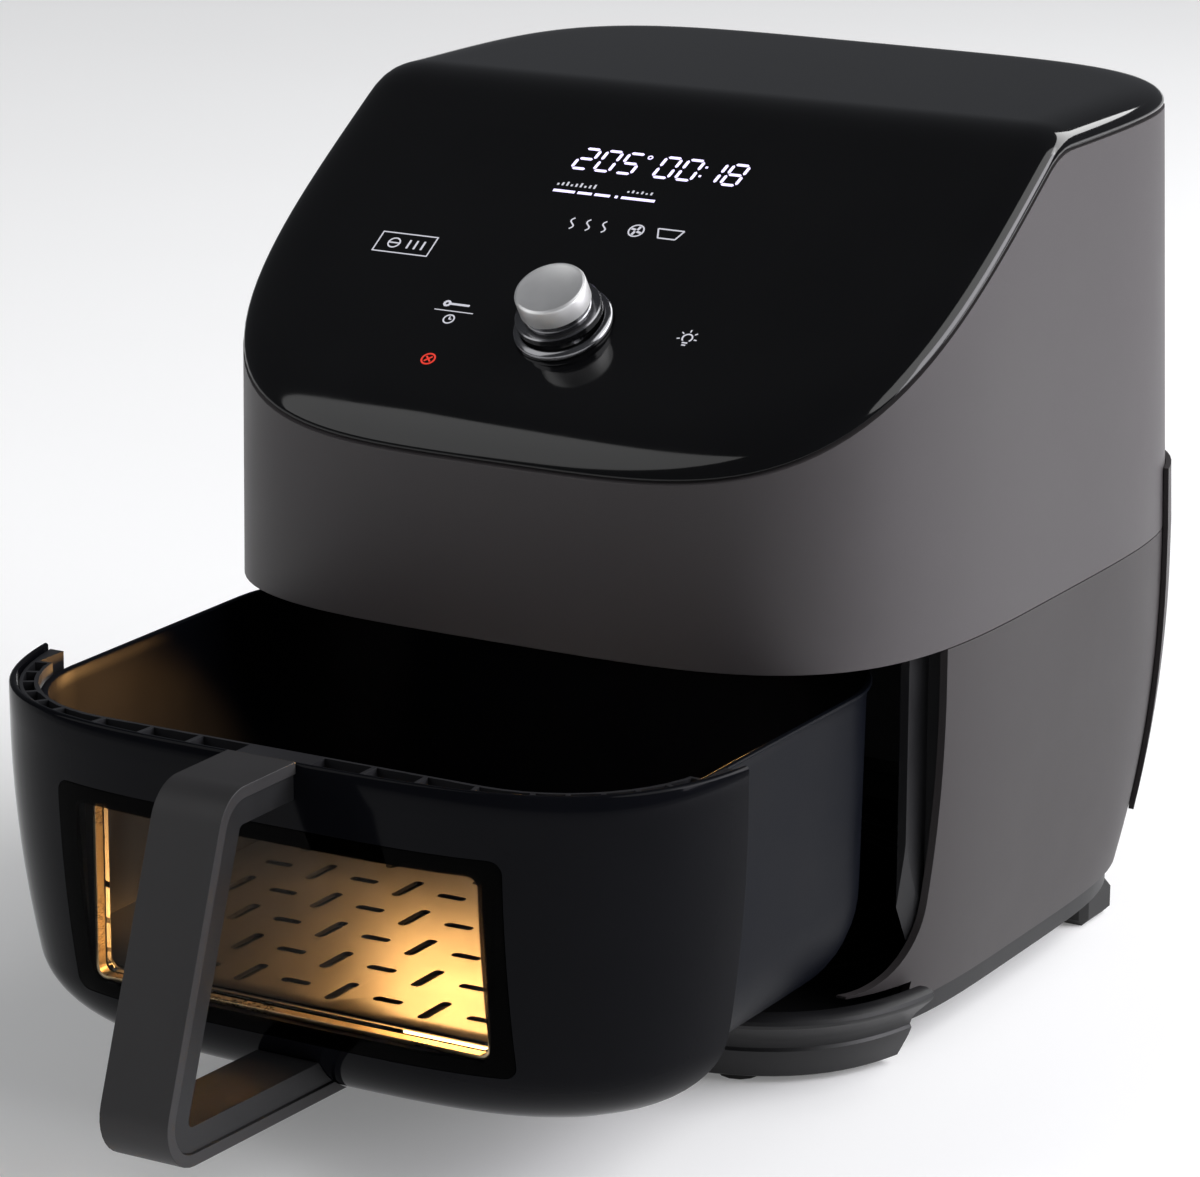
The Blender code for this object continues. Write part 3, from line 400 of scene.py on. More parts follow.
def surface(name, dark, light, rough, metallic=0.0, cloud=25.0, grain=2600.0, height=0.00002,
            stretch=(1, 1, 1), specular=0.5, fleck=None, strength=0.5):
    """Moulded or metal surface: broad colour and roughness drift with a fine grain in the bump."""
    made, nodes, links, shader = new_look(name)
    place = nodes.new("ShaderNodeTexCoord").outputs["Object"]
    scaled = nodes.new("ShaderNodeMapping")
    scaled.inputs["Scale"].default_value = stretch
    links.new(place, scaled.inputs["Vector"])
    broad = noise(nodes, links, place, cloud, 4.0)
    fine = noise(nodes, links, scaled.outputs["Vector"], grain, 2.0)
    tone = two_tone(nodes, links, spread(nodes, links, broad, 0.0, 1.0), dark, light)
    if fleck:
        cells = nodes.new("ShaderNodeTexVoronoi")
        cells.inputs["Scale"].default_value = fleck[1]
        links.new(place, cells.inputs["Vector"])
        dots = spread(nodes, links, cells.outputs["Distance"], fleck[2], 0.0, (0.05, 0.22))
        lit = nodes.new("ShaderNodeMix")
        lit.data_type = "RGBA"
        lit.inputs["B"].default_value = (*fleck[0], 1.0)
        links.new(dots, lit.inputs["Factor"])
        links.new(tone, lit.inputs["A"])
        tone = lit.outputs["Result"]
    links.new(tone, shader.inputs["Base Color"])
    mixed = nodes.new("ShaderNodeMath")
    mixed.operation = "ADD"
    links.new(spread(nodes, links, broad, 0.0, rough[1] - rough[0]), mixed.inputs[0])
    links.new(spread(nodes, links, fine, rough[0], rough[0] + (rough[1] - rough[0]) * 0.5), mixed.inputs[1])
    links.new(mixed.outputs["Value"], shader.inputs["Roughness"])
    bump = nodes.new("ShaderNodeBump")
    put(bump, Strength=strength, Distance=height)
    links.new(fine, bump.inputs["Height"])
    links.new(bump.outputs["Normal"], shader.inputs["Normal"])
    put(shader, Metallic=metallic, Specular_IOR_Level=specular)
    return made


def glass(name, tint, rough=0.01, bend=1.45):
    made, nodes, links, shader = new_look(name)
    place = nodes.new("ShaderNodeTexCoord").outputs["Object"]
    film = noise(nodes, links, place, 35.0, 3.0)
    links.new(two_tone(nodes, links, spread(nodes, links, film, 0.0, 1.0), tint, [c * 0.92 for c in tint]),
              shader.inputs["Base Color"])
    links.new(spread(nodes, links, film, rough, rough * 2.2), shader.inputs["Roughness"])
    put(shader, Transmission_Weight=1.0, IOR=bend)
    return made


def bordered_glass(name, tint, bend, half_size, middle_z):
    """Glass whose colour turns black outside a rounded window, as with a printed border."""
    made = glass(name, tint, bend=bend)
    nodes, links = made.node_tree.nodes, made.node_tree.links
    shader = nodes["Principled BSDF"]

    def step(kind, first, second=None):
        node = nodes.new("ShaderNodeVectorMath")
        node.operation = kind
        links.new(first, node.inputs[0])
        if second:
            node.inputs[1].default_value = second
        return node

    radius = 0.004
    place = step("SUBTRACT", nodes.new("ShaderNodeTexCoord").outputs["Object"], (0.0, 0.0, middle_z))
    flat = step("MULTIPLY", place.outputs[0], (1.0, 0.0, 1.0))
    over = step("SUBTRACT", step("ABSOLUTE", flat.outputs[0]).outputs[0],
                (half_size[0] - radius, 0.0, half_size[1] - radius))
    beyond = step("LENGTH", step("MAXIMUM", over.outputs[0], (0.0, 0.0, 0.0)).outputs[0])
    inked = spread(nodes, links, beyond.outputs["Value"], 0.0, 1.0, (radius, radius + 0.0003))
    ink = nodes.new("ShaderNodeMix")
    ink.data_type = "RGBA"
    ink.inputs["B"].default_value = (0.0015, 0.0015, 0.0018, 1.0)
    old = shader.inputs["Base Color"].links[0].from_socket
    links.new(inked, ink.inputs["Factor"])
    links.new(old, ink.inputs["A"])
    links.new(ink.outputs["Result"], shader.inputs["Base Color"])
    return made


def lit(name, colour, glow, strength):
    made, nodes, links, shader = new_look(name)
    place = nodes.new("ShaderNodeTexCoord").outputs["Object"]
    drift = noise(nodes, links, place, 400.0, 2.0)
    links.new(two_tone(nodes, links, drift, colour, [c * 0.9 for c in colour]), shader.inputs["Base Color"])
    links.new(two_tone(nodes, links, drift, glow, [c * 0.93 for c in glow]), shader.inputs["Emission Color"])
    put(shader, Emission_Strength=strength, Roughness=0.4)
    return made


CHARCOAL = surface("charcoal_plastic", (0.050, 0.045, 0.047), (0.056, 0.050, 0.053), (0.42, 0.48),
                   cloud=18, grain=2400, height=0.00003, specular=0.36)
# Darker copy of the same charcoal plastic, used on the lower housing and rear cover: painted shade for the
# tucked-in lower part, which gets less light than the upper housing
SHADED_CHARCOAL = surface("charcoal_plastic_painted_shade", (0.031, 0.027, 0.028), (0.035, 0.031, 0.032), (0.44, 0.50),
                         cloud=18, grain=2400, height=0.00003, specular=0.30)
GLOSS = surface("gloss_black_panel", (0.0022, 0.0022, 0.0026), (0.0030, 0.0030, 0.0034), (0.045, 0.075),
                cloud=22, grain=140, height=0.000004, specular=0.40, strength=0.25)
FASCIA_LOOK = surface("gloss_black_fascia", (0.0028, 0.0030, 0.0042), (0.0036, 0.0038, 0.0052), (0.06, 0.09),
                      cloud=22, grain=140, height=0.000004, specular=0.06, strength=0.25)
BLACK = surface("black_plastic", (0.007, 0.007, 0.008), (0.010, 0.010, 0.011), (0.38, 0.46), cloud=30,
                grain=2200, specular=0.3)
RIM = surface("rim_plastic", (0.012, 0.012, 0.014), (0.017, 0.017, 0.019), (0.28, 0.36), cloud=40, grain=1800)
GREY = surface("handle_grey", (0.024, 0.023, 0.024), (0.028, 0.027, 0.028), (0.46, 0.54),
               cloud=30, grain=3200, height=0.00003, specular=0.3)
DARK_GREY = surface("handle_dark", (0.009, 0.009, 0.010), (0.013, 0.013, 0.014), (0.42, 0.50), cloud=30,
                    grain=3000, specular=0.3)
RUBBER = surface("black_rubber", (0.010, 0.010, 0.010), (0.017, 0.017, 0.017), (0.68, 0.78), cloud=60,
                 grain=1600, height=0.00005)
COATING = surface("basket_coating", (0.0028, 0.0034, 0.0056), (0.0040, 0.0048, 0.0076), (0.32, 0.40),
                  cloud=28, grain=1500, height=0.00003, specular=0.04,
                  fleck=((0.014, 0.016, 0.021), 900.0, 0.30))
STEEL_LOOK = surface("brushed_steel", (0.46, 0.46, 0.47), (0.56, 0.56, 0.57), (0.24, 0.34), 1.0, cloud=14,
                     grain=300, stretch=(1, 1, 14), height=0.00001)
LINER_LOOK = surface("coated_sheet_steel", (0.055, 0.055, 0.058), (0.085, 0.085, 0.088), (0.38, 0.50), 0.8,
                     cloud=45, grain=900, height=0.00002)
ALUMINIUM = surface("satin_aluminium", (0.80, 0.80, 0.80), (0.87, 0.87, 0.87), (0.38, 0.46), 0.85, cloud=60,
                    grain=700, stretch=(1, 9, 1), height=0.000006)
CHROME = surface("polished_chrome", (0.62, 0.62, 0.64), (0.70, 0.70, 0.72), (0.10, 0.16), 1.0, cloud=80,
                 grain=900, height=0.000003, strength=0.2)
DARK_CHROME = surface("smoked_chrome", (0.20, 0.20, 0.21), (0.26, 0.26, 0.27), (0.14, 0.20), 1.0, cloud=80,
                      grain=900, height=0.000003, strength=0.2)
BRASSY = surface("warm_window_metal", (0.46, 0.37, 0.23), (0.56, 0.46, 0.30), (0.22, 0.32), 1.0, cloud=50,
                 grain=500, stretch=(1, 1, 10), height=0.000008)
ELEMENT = surface("heater_steel", (0.16, 0.15, 0.14), (0.28, 0.24, 0.20), (0.36, 0.52), 1.0, cloud=90,
                  grain=1200)
CERAMIC = surface("glazed_ceramic", (0.70, 0.69, 0.65), (0.78, 0.77, 0.73), (0.28, 0.36), cloud=60, grain=900)
BOARD = surface("circuit_board", (0.012, 0.075, 0.035), (0.020, 0.105, 0.050), (0.34, 0.46), cloud=220,
                grain=1500)
SMOKED = bordered_glass("smoked_glass", (0.90, 0.87, 0.82), 1.08, (0.0832, 0.0346), 0.0968)
CLEAR = glass("clear_glass", (0.95, 0.94, 0.91), 0.006, 1.15)
WHITE_LED = lit("white_led", (0.70, 0.66, 0.92), (0.74, 0.66, 1.0), 1.2)
SOFT_LED = lit("soft_led", (0.45, 0.45, 0.50), (0.62, 0.62, 0.68), 0.62)
RED_LED = lit("red_led", (0.45, 0.03, 0.02), (0.85, 0.05, 0.03), 0.7)

SLOT_LOOKS = {"housing_charcoal": CHARCOAL, "gloss_black": GLOSS, "black_plastic": BLACK, "handle_grey": GREY,
              "rubber_black": RUBBER, "basket_coating": COATING, "steel": STEEL_LOOK, "aluminium": ALUMINIUM,
              "chrome": CHROME, "dark_chrome": DARK_CHROME, "window_metal": BRASSY, "glass_smoked": SMOKED,
              "led_white": WHITE_LED, "element_steel": ELEMENT, "ceramic_white": CERAMIC,
              "circuit_board": BOARD}
for part in frame["record"]["subparts"]:
    node = frame["nodes"][part["node"]]
    node.data.materials.clear()
    node.data.materials.append(SLOT_LOOKS[part["material_slot"]])
for name in ("chamber_liner", "heater_reflector", "heat_shield"):
    frame["nodes"][name].data.materials[0] = LINER_LOOK
frame["nodes"]["lamp_lens"].data.materials[0] = CLEAR


# ---- housing ----
def make_upper_housing():
    outside = [housing_ring((0, 0), lambda y, f=f: SEAM_Z + f * (seam_height(y) - SEAM_Z))
               for f in (0.0, 0.12, 0.3, 0.5, 0.7, 0.88, 1.0)]
    inside = [housing_ring((SHELL, SHELL), height) for height in (seam_height, SEAM_Z)]
    body = loft("upper_shell", outside + inside, closed=True)
    hole = rounded_box_outline((-0.062, 0.2182), (0.062, 0.2718), 0.004)
    cut(body, prism("vent_way", hole, 0.14, 0.18, "Y"))
    finish_piece(body, "housing", CHARCOAL, HOUSING_Y, "upper_housing", 0.0006)


def gland_way():
    return rod("gland_way", GLAND_RADIUS, (GLAND[0], 0.13, GLAND[1]), (GLAND[0], 0.19, GLAND[1]))


def make_lower_housing():
    heights = [SEAM_Z - GAP] + levels(TUCK_TOP_Z, HOUSING_FOOT_Z, 16)
    body = loft("lower_shell", [housing_ring(tucked(z), z) for z in heights]
                + [housing_ring(tucked(z, SHELL), z) for z in reversed(heights)], closed=True)
    foot = 0.0335
    way = [(-0.2, 0.0), (OPENING_Y, 0.0), (OPENING_Y, foot), (OPENING_Y - JAMB_RADIUS, foot)]
    way += jamb_curve(OPENING_Y, foot + 0.001) + [(OPENING_Y, 0.2), (-0.2, 0.2)]
    cut(body, prism("drawer_way", way, -0.2, 0.2), gland_way())
    # The lower shell wears the darker charcoal copy: painted shade
    finish_piece(body, "housing", SHADED_CHARCOAL, HOUSING_Y, "lower_housing", 0.0007)


def make_rear_cover():
    heights = levels(0.1900, SEAM_Z, 2) + levels(TUCK_TOP_Z, 0.0450, 12)
    cover = loft("back_cover", [housing_ring(tucked(z, -0.0022), z) for z in heights]
                 + [housing_ring(tucked(z, -GAP), z) for z in reversed(heights)], closed=True)
    cut(cover, box("cover_front", (-0.2, -0.2, 0.0), (0.2, 0.112, 0.3)),
        gland_way())
    screws = []
    for number, (x, z) in enumerate(((-0.105, 0.060), (-0.105, 0.178), (0.105, 0.060), (0.105, 0.178)), 1):
        low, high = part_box("rear_screw_%d" % number)
        back = high.y - HOUSING_Y
        cut(cover, rod("seat", 0.0040, (x, back - 0.0028, z), (x, back + 0.01, z)))
        dome = [(0.0, 0.0), (0.0035, 0.0), (0.0035, 0.0012), (0.0030, 0.0018), (0.0018, 0.0023),
                (0.0, 0.0024)]
        where = Matrix.Translation((x, back - 0.0024, z)) @ Matrix.Rotation(math.radians(-90), 4, "X")
        head = turned("rear_screw_head_%d" % number, dome, 32, where)
        cut(head, *(box("cross_slot", (x - across, back - 0.0012, z - up), (x + across, back + 0.001, z + up))
                    for across, up in ((0.0019, 0.0004), (0.0004, 0.0019))))
        finish_piece(head, "housing", STEEL_LOOK, HOUSING_Y, "rear_screw_%d" % number, 0.0001)
    # The rear cover wears the darker charcoal copy too: painted shade
    finish_piece(cover, "housing", SHADED_CHARCOAL, HOUSING_Y, "rear_cover", 0.0006)


def make_exhaust_grille():
    """Slotted grille, leaning with the housing's back."""
    grille = prism("back_grille", rounded_box_outline((-0.0615, -0.0260), (0.0615, 0.0260), 0.0035),
                   -0.0053, -0.0018, "Y")
    ways = []
    for row in range(-2, 3):
        z = row * 0.0100
        for side in (-1, 1):
            x = sorted((side * 0.0012, side * 0.0562))
            ways.append(prism("way", rounded_box_outline((x[0], z - 0.0026), (x[1], z + 0.0026), 0.0020),
                              -0.02, 0.02, "Y"))
    cut(grille, *ways)
    lean = math.atan(LEAN_BACK / (TOP_Z - SEAM_Z))
    middle = (0.0, HALF_DEPTH - LEAN_BACK * lean_share(VENT_Z), VENT_Z)
    grille.data.transform(Matrix.Translation(middle) @ Matrix.Rotation(lean, 4, "X"))
    finish_piece(grille, "housing", BLACK, HOUSING_Y, "exhaust_grille", 0.0004)


def make_base():
    """Plinth with its lip, floor and locating ridges."""
    def ring(inset, z):
        return housing_ring((inset, inset * 1.3), z)

    outline = [(0.0072, 0.0327), (0.0050, 0.0328), (0.0032, 0.0322), (0.0022, 0.0312), (0.0018, 0.0298),
               (0.0022, 0.0284), (0.0035, 0.0270), (0.0060, 0.0243), (0.0085, 0.0215), (0.0100, 0.0190),
               (0.0106, 0.0168), (0.0100, 0.0155), (0.0112, 0.0120), (0.0130, 0.0080), (0.0150, 0.0034),
               (0.0172, 0.0020), (0.0300, 0.0020), (0.0300, 0.0190), (0.0112, 0.0190), (0.0098, 0.0215),
               (0.0090, 0.0318)]
    plinth = loft("base_plinth", [ring(inset, z) for inset, z in outline], closed=True)
    cut(plinth, box("plinth_end", (-0.2, OPENING_Y - 0.0005, -0.1), (0.2, 0.2, 0.1)))
    finish_piece(plinth, "housing", BLACK, HOUSING_Y, "base_pan", 0.0003, 30)
    floor = loft("base_floor", [housing_ring((0.0175, 0.0225), z) for z in (0.0150, FLOOR_TOP_Z)])
    finish_piece(floor, "housing", BLACK, HOUSING_Y, edge=0.0005)
    wall = ((0.0157, 0.0150), (0.0157, 0.0300), (0.0175, 0.0300), (0.0185, 0.0150))
    rings = [housing_ring((inset, inset + 0.0048), z) for inset, z in wall]
    upstand = loft("base_upstand", rings, closed=True)
    cut(upstand, box("upstand_front", (-0.2, -0.2, 0.0), (0.2, OPENING_Y, 0.1)))
    finish_piece(upstand, "housing", BLACK, HOUSING_Y, sharp=30)
    for number, radius in enumerate(RIDGES, 1):
        top, foot = FLOOR_TOP_Z + 0.0012, 0.0190
        profile = [(radius - 0.0035, foot), (radius, foot), (radius, top - 0.0005),
                   (radius - 0.0005, top - 0.0001), (radius - 0.0012, top), (radius - 0.0023, top),
                   (radius - 0.0030, top - 0.0001), (radius - 0.0035, top - 0.0005)]
        ridge = turned("base_ridge_%d" % number, profile, 128, Matrix.Translation((0, RIDGE_Y, 0)))
        finish_piece(ridge, "housing", RIM, HOUSING_Y, sharp=30)


# ---- control panel and dial ----
def make_panel():
    """Gloss cover with a full rounded edge, over a fine shadow groove along the housing."""
    def ring(inset, rise):
        return housing_ring((inset, inset), lambda y: seam_height(y) + rise)

    outside = [ring(0.0016, GAP), ring(0.0016, 0.0011), ring(0.0005, 0.0013), ring(0.0002, 0.0017)]
    inside = [ring(0.0036, GAP)]
    steps = 18
    for step in range(1, steps + 1):
        angle = math.radians(90 * step / steps)
        turn, climb = 1 - math.cos(angle) ** PANEL_FULLNESS, math.sin(angle) ** PANEL_FULLNESS
        if PANEL_RISE * climb > 0.0022:
            outside.append(ring(PANEL_EDGE * turn, PANEL_RISE * climb))
        inside.append(ring(0.0036 + (PANEL_EDGE - 0.0036) * turn, max(GAP, (PANEL_RISE - 0.003) * climb)))
    panel = loft("gloss_panel", outside[::-1] + inside)
    finish_piece(panel, "housing", GLOSS, HOUSING_Y, "control_panel", sharp=50)


def on_panel(x, slope, lift=0.0):
    """A point of the sloping panel, from its distance up the slope from the front seam."""
    y = -HALF_DEPTH + slope * math.cos(PANEL_TILT)
    z = FRONT_TOP_Z + slope * math.sin(PANEL_TILT) + PANEL_RISE
    return (x, HOUSING_Y + y - lift * math.sin(PANEL_TILT), z + lift * math.cos(PANEL_TILT))


def print_marks(name, shapes, look):
    """Thin raised marks on the panel, each an outline of (x, slope) points."""
    bm = bmesh.new()
    for shape in shapes:
        rows = [[bm.verts.new(on_panel(x, s, lift)) for x, s in shape] for lift in (0.00003, 0.00013)]
        for row in rows:
            bm.faces.new(row)
        for i in range(len(shape)):
            j = (i + 1) % len(shape)
            bm.faces.new((rows[0][i], rows[0][j], rows[1][j], rows[1][i]))
    marks = from_bmesh(name, bm)
    marks.data.materials.append(look)
    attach(marks, "housing")
    return marks


def bar(x0, s0, x1, s1, width):
    """A line as a four-cornered outline."""
    along = Vector((x1 - x0, s1 - s0)).normalized() * width / 2
    side = Vector((-along.y, along.x))
    return [(x0 - side.x, s0 - side.y), (x1 - side.x, s1 - side.y), (x1 + side.x, s1 + side.y),
            (x0 + side.x, s0 + side.y)]


def frame_lines(x0, s0, x1, s1, width):
    half = width / 2
    return [bar(x0 - half, s0, x1 + half, s0, width), bar(x0 - half, s1, x1 + half, s1, width),
            bar(x0, s0 + half, x0, s1 - half, width), bar(x1, s0 + half, x1, s1 - half, width)]


def circle_line(x, s, radius, width, start=0, end=360, steps=20):
    spin = [math.radians(start + (end - start) * k / steps) for k in range(steps + 1)]
    points = [(x + radius * math.cos(a), s + radius * math.sin(a)) for a in spin]
    return [bar(*a, *b, width) for a, b in zip(points, points[1:])]


SEGMENTS = {"0": "abcdef", "1": "bc", "2": "abged", "5": "afgcd", "8": "abcdefg"}


def digit(figure, x, slope, width, height, stroke, lean=0.14):
    """One slanted seven-segment figure."""
    def at(u, v):
        return (x + u * width + lean * v * height, slope + v * height)

    ends = {"a": ((0, 1), (1, 1)), "b": ((1, 1), (1, 0.5)), "c": ((1, 0.5), (1, 0)), "d": ((0, 0), (1, 0)),
            "e": ((0, 0.5), (0, 0)), "f": ((0, 1), (0, 0.5)), "g": ((0, 0.5), (1, 0.5))}
    shapes = []
    for segment in SEGMENTS[figure]:
        (u0, v0), (u1, v1) = ends[segment]
        a, b = Vector(at(u0, v0)), Vector(at(u1, v1))
        along = (b - a).normalized()
        side = Vector((-along.y, along.x)) * stroke / 2
        a, b = a + along * stroke * 0.35, b - along * stroke * 0.35
        tip = along * stroke / 2
        shapes.append([tuple(p) for p in (a, a + tip - side, b - tip - side,
                                          b, b - tip + side, a + tip + side)])
    return shapes


def make_display():
    white, soft, red = [], [], []
    for figure, x in (("2", -0.0375), ("0", -0.0277), ("5", -0.0180), ("0", -0.0018), ("0", 0.0080),
                      ("1", 0.0182), ("8", 0.0276)):
        white += digit(figure, x, 0.1440, 0.0066, 0.0112, 0.0013)
    white += circle_line(-0.0072, 0.1540, 0.0009, 0.0005, steps=10)
    for s in (0.1470, 0.1520):
        x = 0.0172 + (s - 0.1440) * 0.14
        white.append(bar(x, s - 0.0005, x, s + 0.0005, 0.0010))
    for x0, x1 in ((-0.0390, -0.0295), (-0.0282, -0.0220), (-0.0207, -0.0140), (-0.0118, -0.0106),
                   (-0.0090, 0.0056)):
        white.append(bar(x0, 0.1310, x1, 0.1310, 0.0013))
    for k in range(9):
        x = -0.0385 + k * 0.0020
        soft.append(bar(x, 0.1340, x, 0.1350 + 0.0006 * (k % 3), 0.0008))
    for k in range(6):
        x = -0.0075 + k * 0.0020
        soft.append(bar(x, 0.1340, x, 0.1348 + 0.0006 * (k % 2), 0.0008))
    print_marks("display_figures", white, WHITE_LED)
    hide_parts("led_display")
    # status line: waves of hot air, a fan and a basket
    base, fan_x, tray_x = 0.1115, 0.0055, 0.0140
    for k in range(3):
        x = -0.0225 + k * 0.0070
        points = [(x + 0.0012 * math.sin(step * math.pi / 3), base + 0.0010 * step) for step in range(7)]
        soft += [bar(*a, *b, 0.0006) for a, b in zip(points, points[1:])]
    fan_s = base + 0.0030
    soft += circle_line(fan_x, fan_s, 0.0031, 0.0006)
    for k in range(4):
        a = math.radians(45 + 90 * k)
        soft.append(bar(fan_x + 0.0006 * math.cos(a), fan_s + 0.0006 * math.sin(a),
                        fan_x + 0.0025 * math.cos(a + 0.4), fan_s + 0.0025 * math.sin(a + 0.4), 0.0010))
    tray = [(tray_x, base + 0.0055), (tray_x + 0.0019, base + 0.0006), (tray_x + 0.0093, base + 0.0006),
            (tray_x + 0.0112, base + 0.0055)]
    soft += [bar(*a, *b, 0.0006) for a, b in zip(tray, tray[1:] + tray[:1])]
    # programme key: a barred ring and three bars in a frame
    soft += frame_lines(-0.0985, 0.0880, -0.0740, 0.0985, 0.0005)
    soft += circle_line(-0.0912, 0.0932, 0.0025, 0.0006)
    soft.append(bar(-0.0937, 0.0932, -0.0887, 0.0932, 0.0006))
    for k in range(3):
        x = -0.0846 + k * 0.0032
        soft.append(bar(x, 0.0909, x, 0.0955, 0.0008))
    # heat and time key: thermometer over a line over a clock
    heat_x, heat_s = -0.0480, 0.0615
    soft += [bar(heat_x - 0.0085, heat_s, heat_x + 0.0085, heat_s, 0.0004),
             bar(heat_x - 0.0033, heat_s + 0.0037, heat_x + 0.0051, heat_s + 0.0037, 0.0010)]
    soft += circle_line(heat_x - 0.0047, heat_s + 0.0037, 0.0012, 0.0010, steps=12)
    soft += circle_line(heat_x, heat_s - 0.0042, 0.0022, 0.0006, steps=16)
    soft += [bar(heat_x, heat_s - 0.0042, heat_x, heat_s - 0.0028, 0.0005),
             bar(heat_x, heat_s - 0.0042, heat_x + 0.0011, heat_s - 0.0042, 0.0005)]
    # lamp key
    lamp_x, lamp_s = 0.0518, 0.0632
    soft += circle_line(lamp_x, lamp_s, 0.0020, 0.0006, -50, 230, 16)
    soft += [bar(lamp_x - 0.0011, lamp_s - 0.0025, lamp_x + 0.0011, lamp_s - 0.0025, 0.0006),
             bar(lamp_x - 0.0008, lamp_s - 0.0037, lamp_x + 0.0008, lamp_s - 0.0037, 0.0006)]
    for k in range(5):
        angle = math.radians(-10 + 50 * k)
        soft.append(bar(lamp_x + 0.0030 * math.cos(angle), lamp_s + 0.0030 * math.sin(angle),
                        lamp_x + 0.0042 * math.cos(angle), lamp_s + 0.0042 * math.sin(angle), 0.0005))
    # stop key
    stop_x, stop_s, arm = -0.0460, 0.0360, 0.0013
    red += circle_line(stop_x, stop_s, 0.0027, 0.0007, steps=18)
    red += [bar(stop_x - arm, stop_s - arm, stop_x + arm, stop_s + arm, 0.0007),
            bar(stop_x - arm, stop_s + arm, stop_x + arm, stop_s - arm, 0.0007)]
    print_marks("key_marks", soft, SOFT_LED)
    print_marks("stop_mark", red, RED_LED)


def make_dial():
    where = Matrix.Translation((0, HOUSING_Y + DIAL_Y, seam_height(DIAL_Y) + PANEL_RISE))
    where = where @ Matrix.Rotation(PANEL_TILT, 4, "X")
    ring = [(0.0105, GAP), (0.0195, GAP), (0.0195, 0.0014), (0.0191, 0.0022), (0.0183, 0.0028),
            (0.0172, 0.0032), (0.0160, 0.0031), (0.0150, 0.0026), (0.0105, 0.0024)]
    base = turned("dial_base_ring", ring, 96, where)
    finish_piece(base, "housing", DARK_CHROME, stands_for="dial_bezel", sharp=28)
    side = [(0.0034, 0.0050), (0.0164, 0.0050), (0.0168, 0.0054), (0.0168, 0.0078), (0.0163, 0.0082),
            (0.0130, 0.0084), (0.0127, 0.0088), (0.0127, 0.0106), (0.0122, 0.0110), (0.0034, 0.0110)]
    grip = turned("dial_side", side, 96, where)
    finish_piece(grip, "dial", DARK_CHROME, stands_for="dial_body", sharp=28)
    top = [(0.0, 0.0111), (0.0134, 0.0111), (0.0139, 0.0114), (0.0139, 0.0184), (0.0136, 0.0190),
           (0.0128, 0.0195), (0.0124, 0.0195), (0.0118, 0.0192), (0.0, 0.0192)]
    cap = turned("dial_top", top, 96, where)
    finish_piece(cap, "dial", ALUMINIUM, stands_for="dial_cap", sharp=28)


# ---- heater, seen through the opening ----
def make_heater_pieces():
    guard_z, wire = 0.1755, 0.0009
    rings = []
    for radius in (0.0955, 0.0750, 0.0475, 0.0250):
        spin = [math.radians(a) for a in range(0, 360, 36)]
        round_bar = [(radius + wire * math.cos(a), guard_z + wire * math.sin(a)) for a in spin]
        rings.append(turned("guard_ring", round_bar, 96, Matrix.Translation((0, FAN_Y, 0))))
    for k in range(8):
        angle = math.radians(45 * k + 22.5)
        ends = [(r * math.cos(angle), FAN_Y + r * math.sin(angle), guard_z + 0.0006) for r in (0.012, 0.0960)]
        rings.append(rod("guard_spoke", wire, *ends, 10))
    guard = join(*rings)
    guard.name = "wire_guard"
    finish_piece(guard, "housing", STEEL_LOOK, HOUSING_Y, "element_guard")
    coil_z, inner, outer, turns, per_turn = 0.1870, 0.046, 0.086, 2, 64
    coil = []
    for step in range(turns * per_turn + 1):
        angle = 2 * math.pi * step / per_turn
        radius = inner + (outer - inner) * step / (turns * per_turn)
        coil.append((radius * math.cos(angle), FAN_Y + radius * math.sin(angle), coil_z))
    up = (0.090, FAN_Y + 0.010)
    coil += [(0.0885, FAN_Y + 0.006, coil_z + 0.001), (*up, coil_z + 0.006), (*up, 0.200), (*up, 0.2240)]
    finish_piece(tube("heater_coil", coil, 0.0031), "housing", ELEMENT, HOUSING_Y,
                 "heating_element")


# ---- drawer ----
def make_basket():
    lip, steel = BASKET_LIP, STEEL
    top = BASKET_TOP_Z
    edge = [(0.0000, top - 0.0060), (-0.0004, top - 0.0026), (-0.0010, top - steel),
            (-lip + 0.0003, top - steel), (-lip, top - 0.0008), (-lip, top - 0.0004), (-lip + 0.0004, top),
            (0.0002, top),
            (0.0007, top - 0.0003), (0.0010, top - 0.0010), (0.0012, top - 0.0060)]
    outside = basket_bottom(0.0)
    inside = basket_bottom(-steel)[::-1]
    pan = loft("drawer_basket", [basket_ring(inset, z) for inset, z in outside + edge + inside])
    sight = rounded_box_outline(*SIGHT, 0.004)
    cut(pan, prism("sight_way", sight, -0.16, -0.12, "Y"))
    finish_piece(pan, "drawer", COATING, DRAWER_Y, "basket_pan", sharp=32)


def behind_jambs():
    """What the drawer's front leaves free: all that lies behind the jambs when it is closed."""
    end_y = OPENING_Y - 0.001
    way = [(0.2, 0.0), (end_y - JAMB_RADIUS, 0.0)] + jamb_curve(end_y, 0.0365) + [(end_y, 0.3), (0.2, 0.3)]
    return prism("behind_jambs", way, -0.2, 0.2)


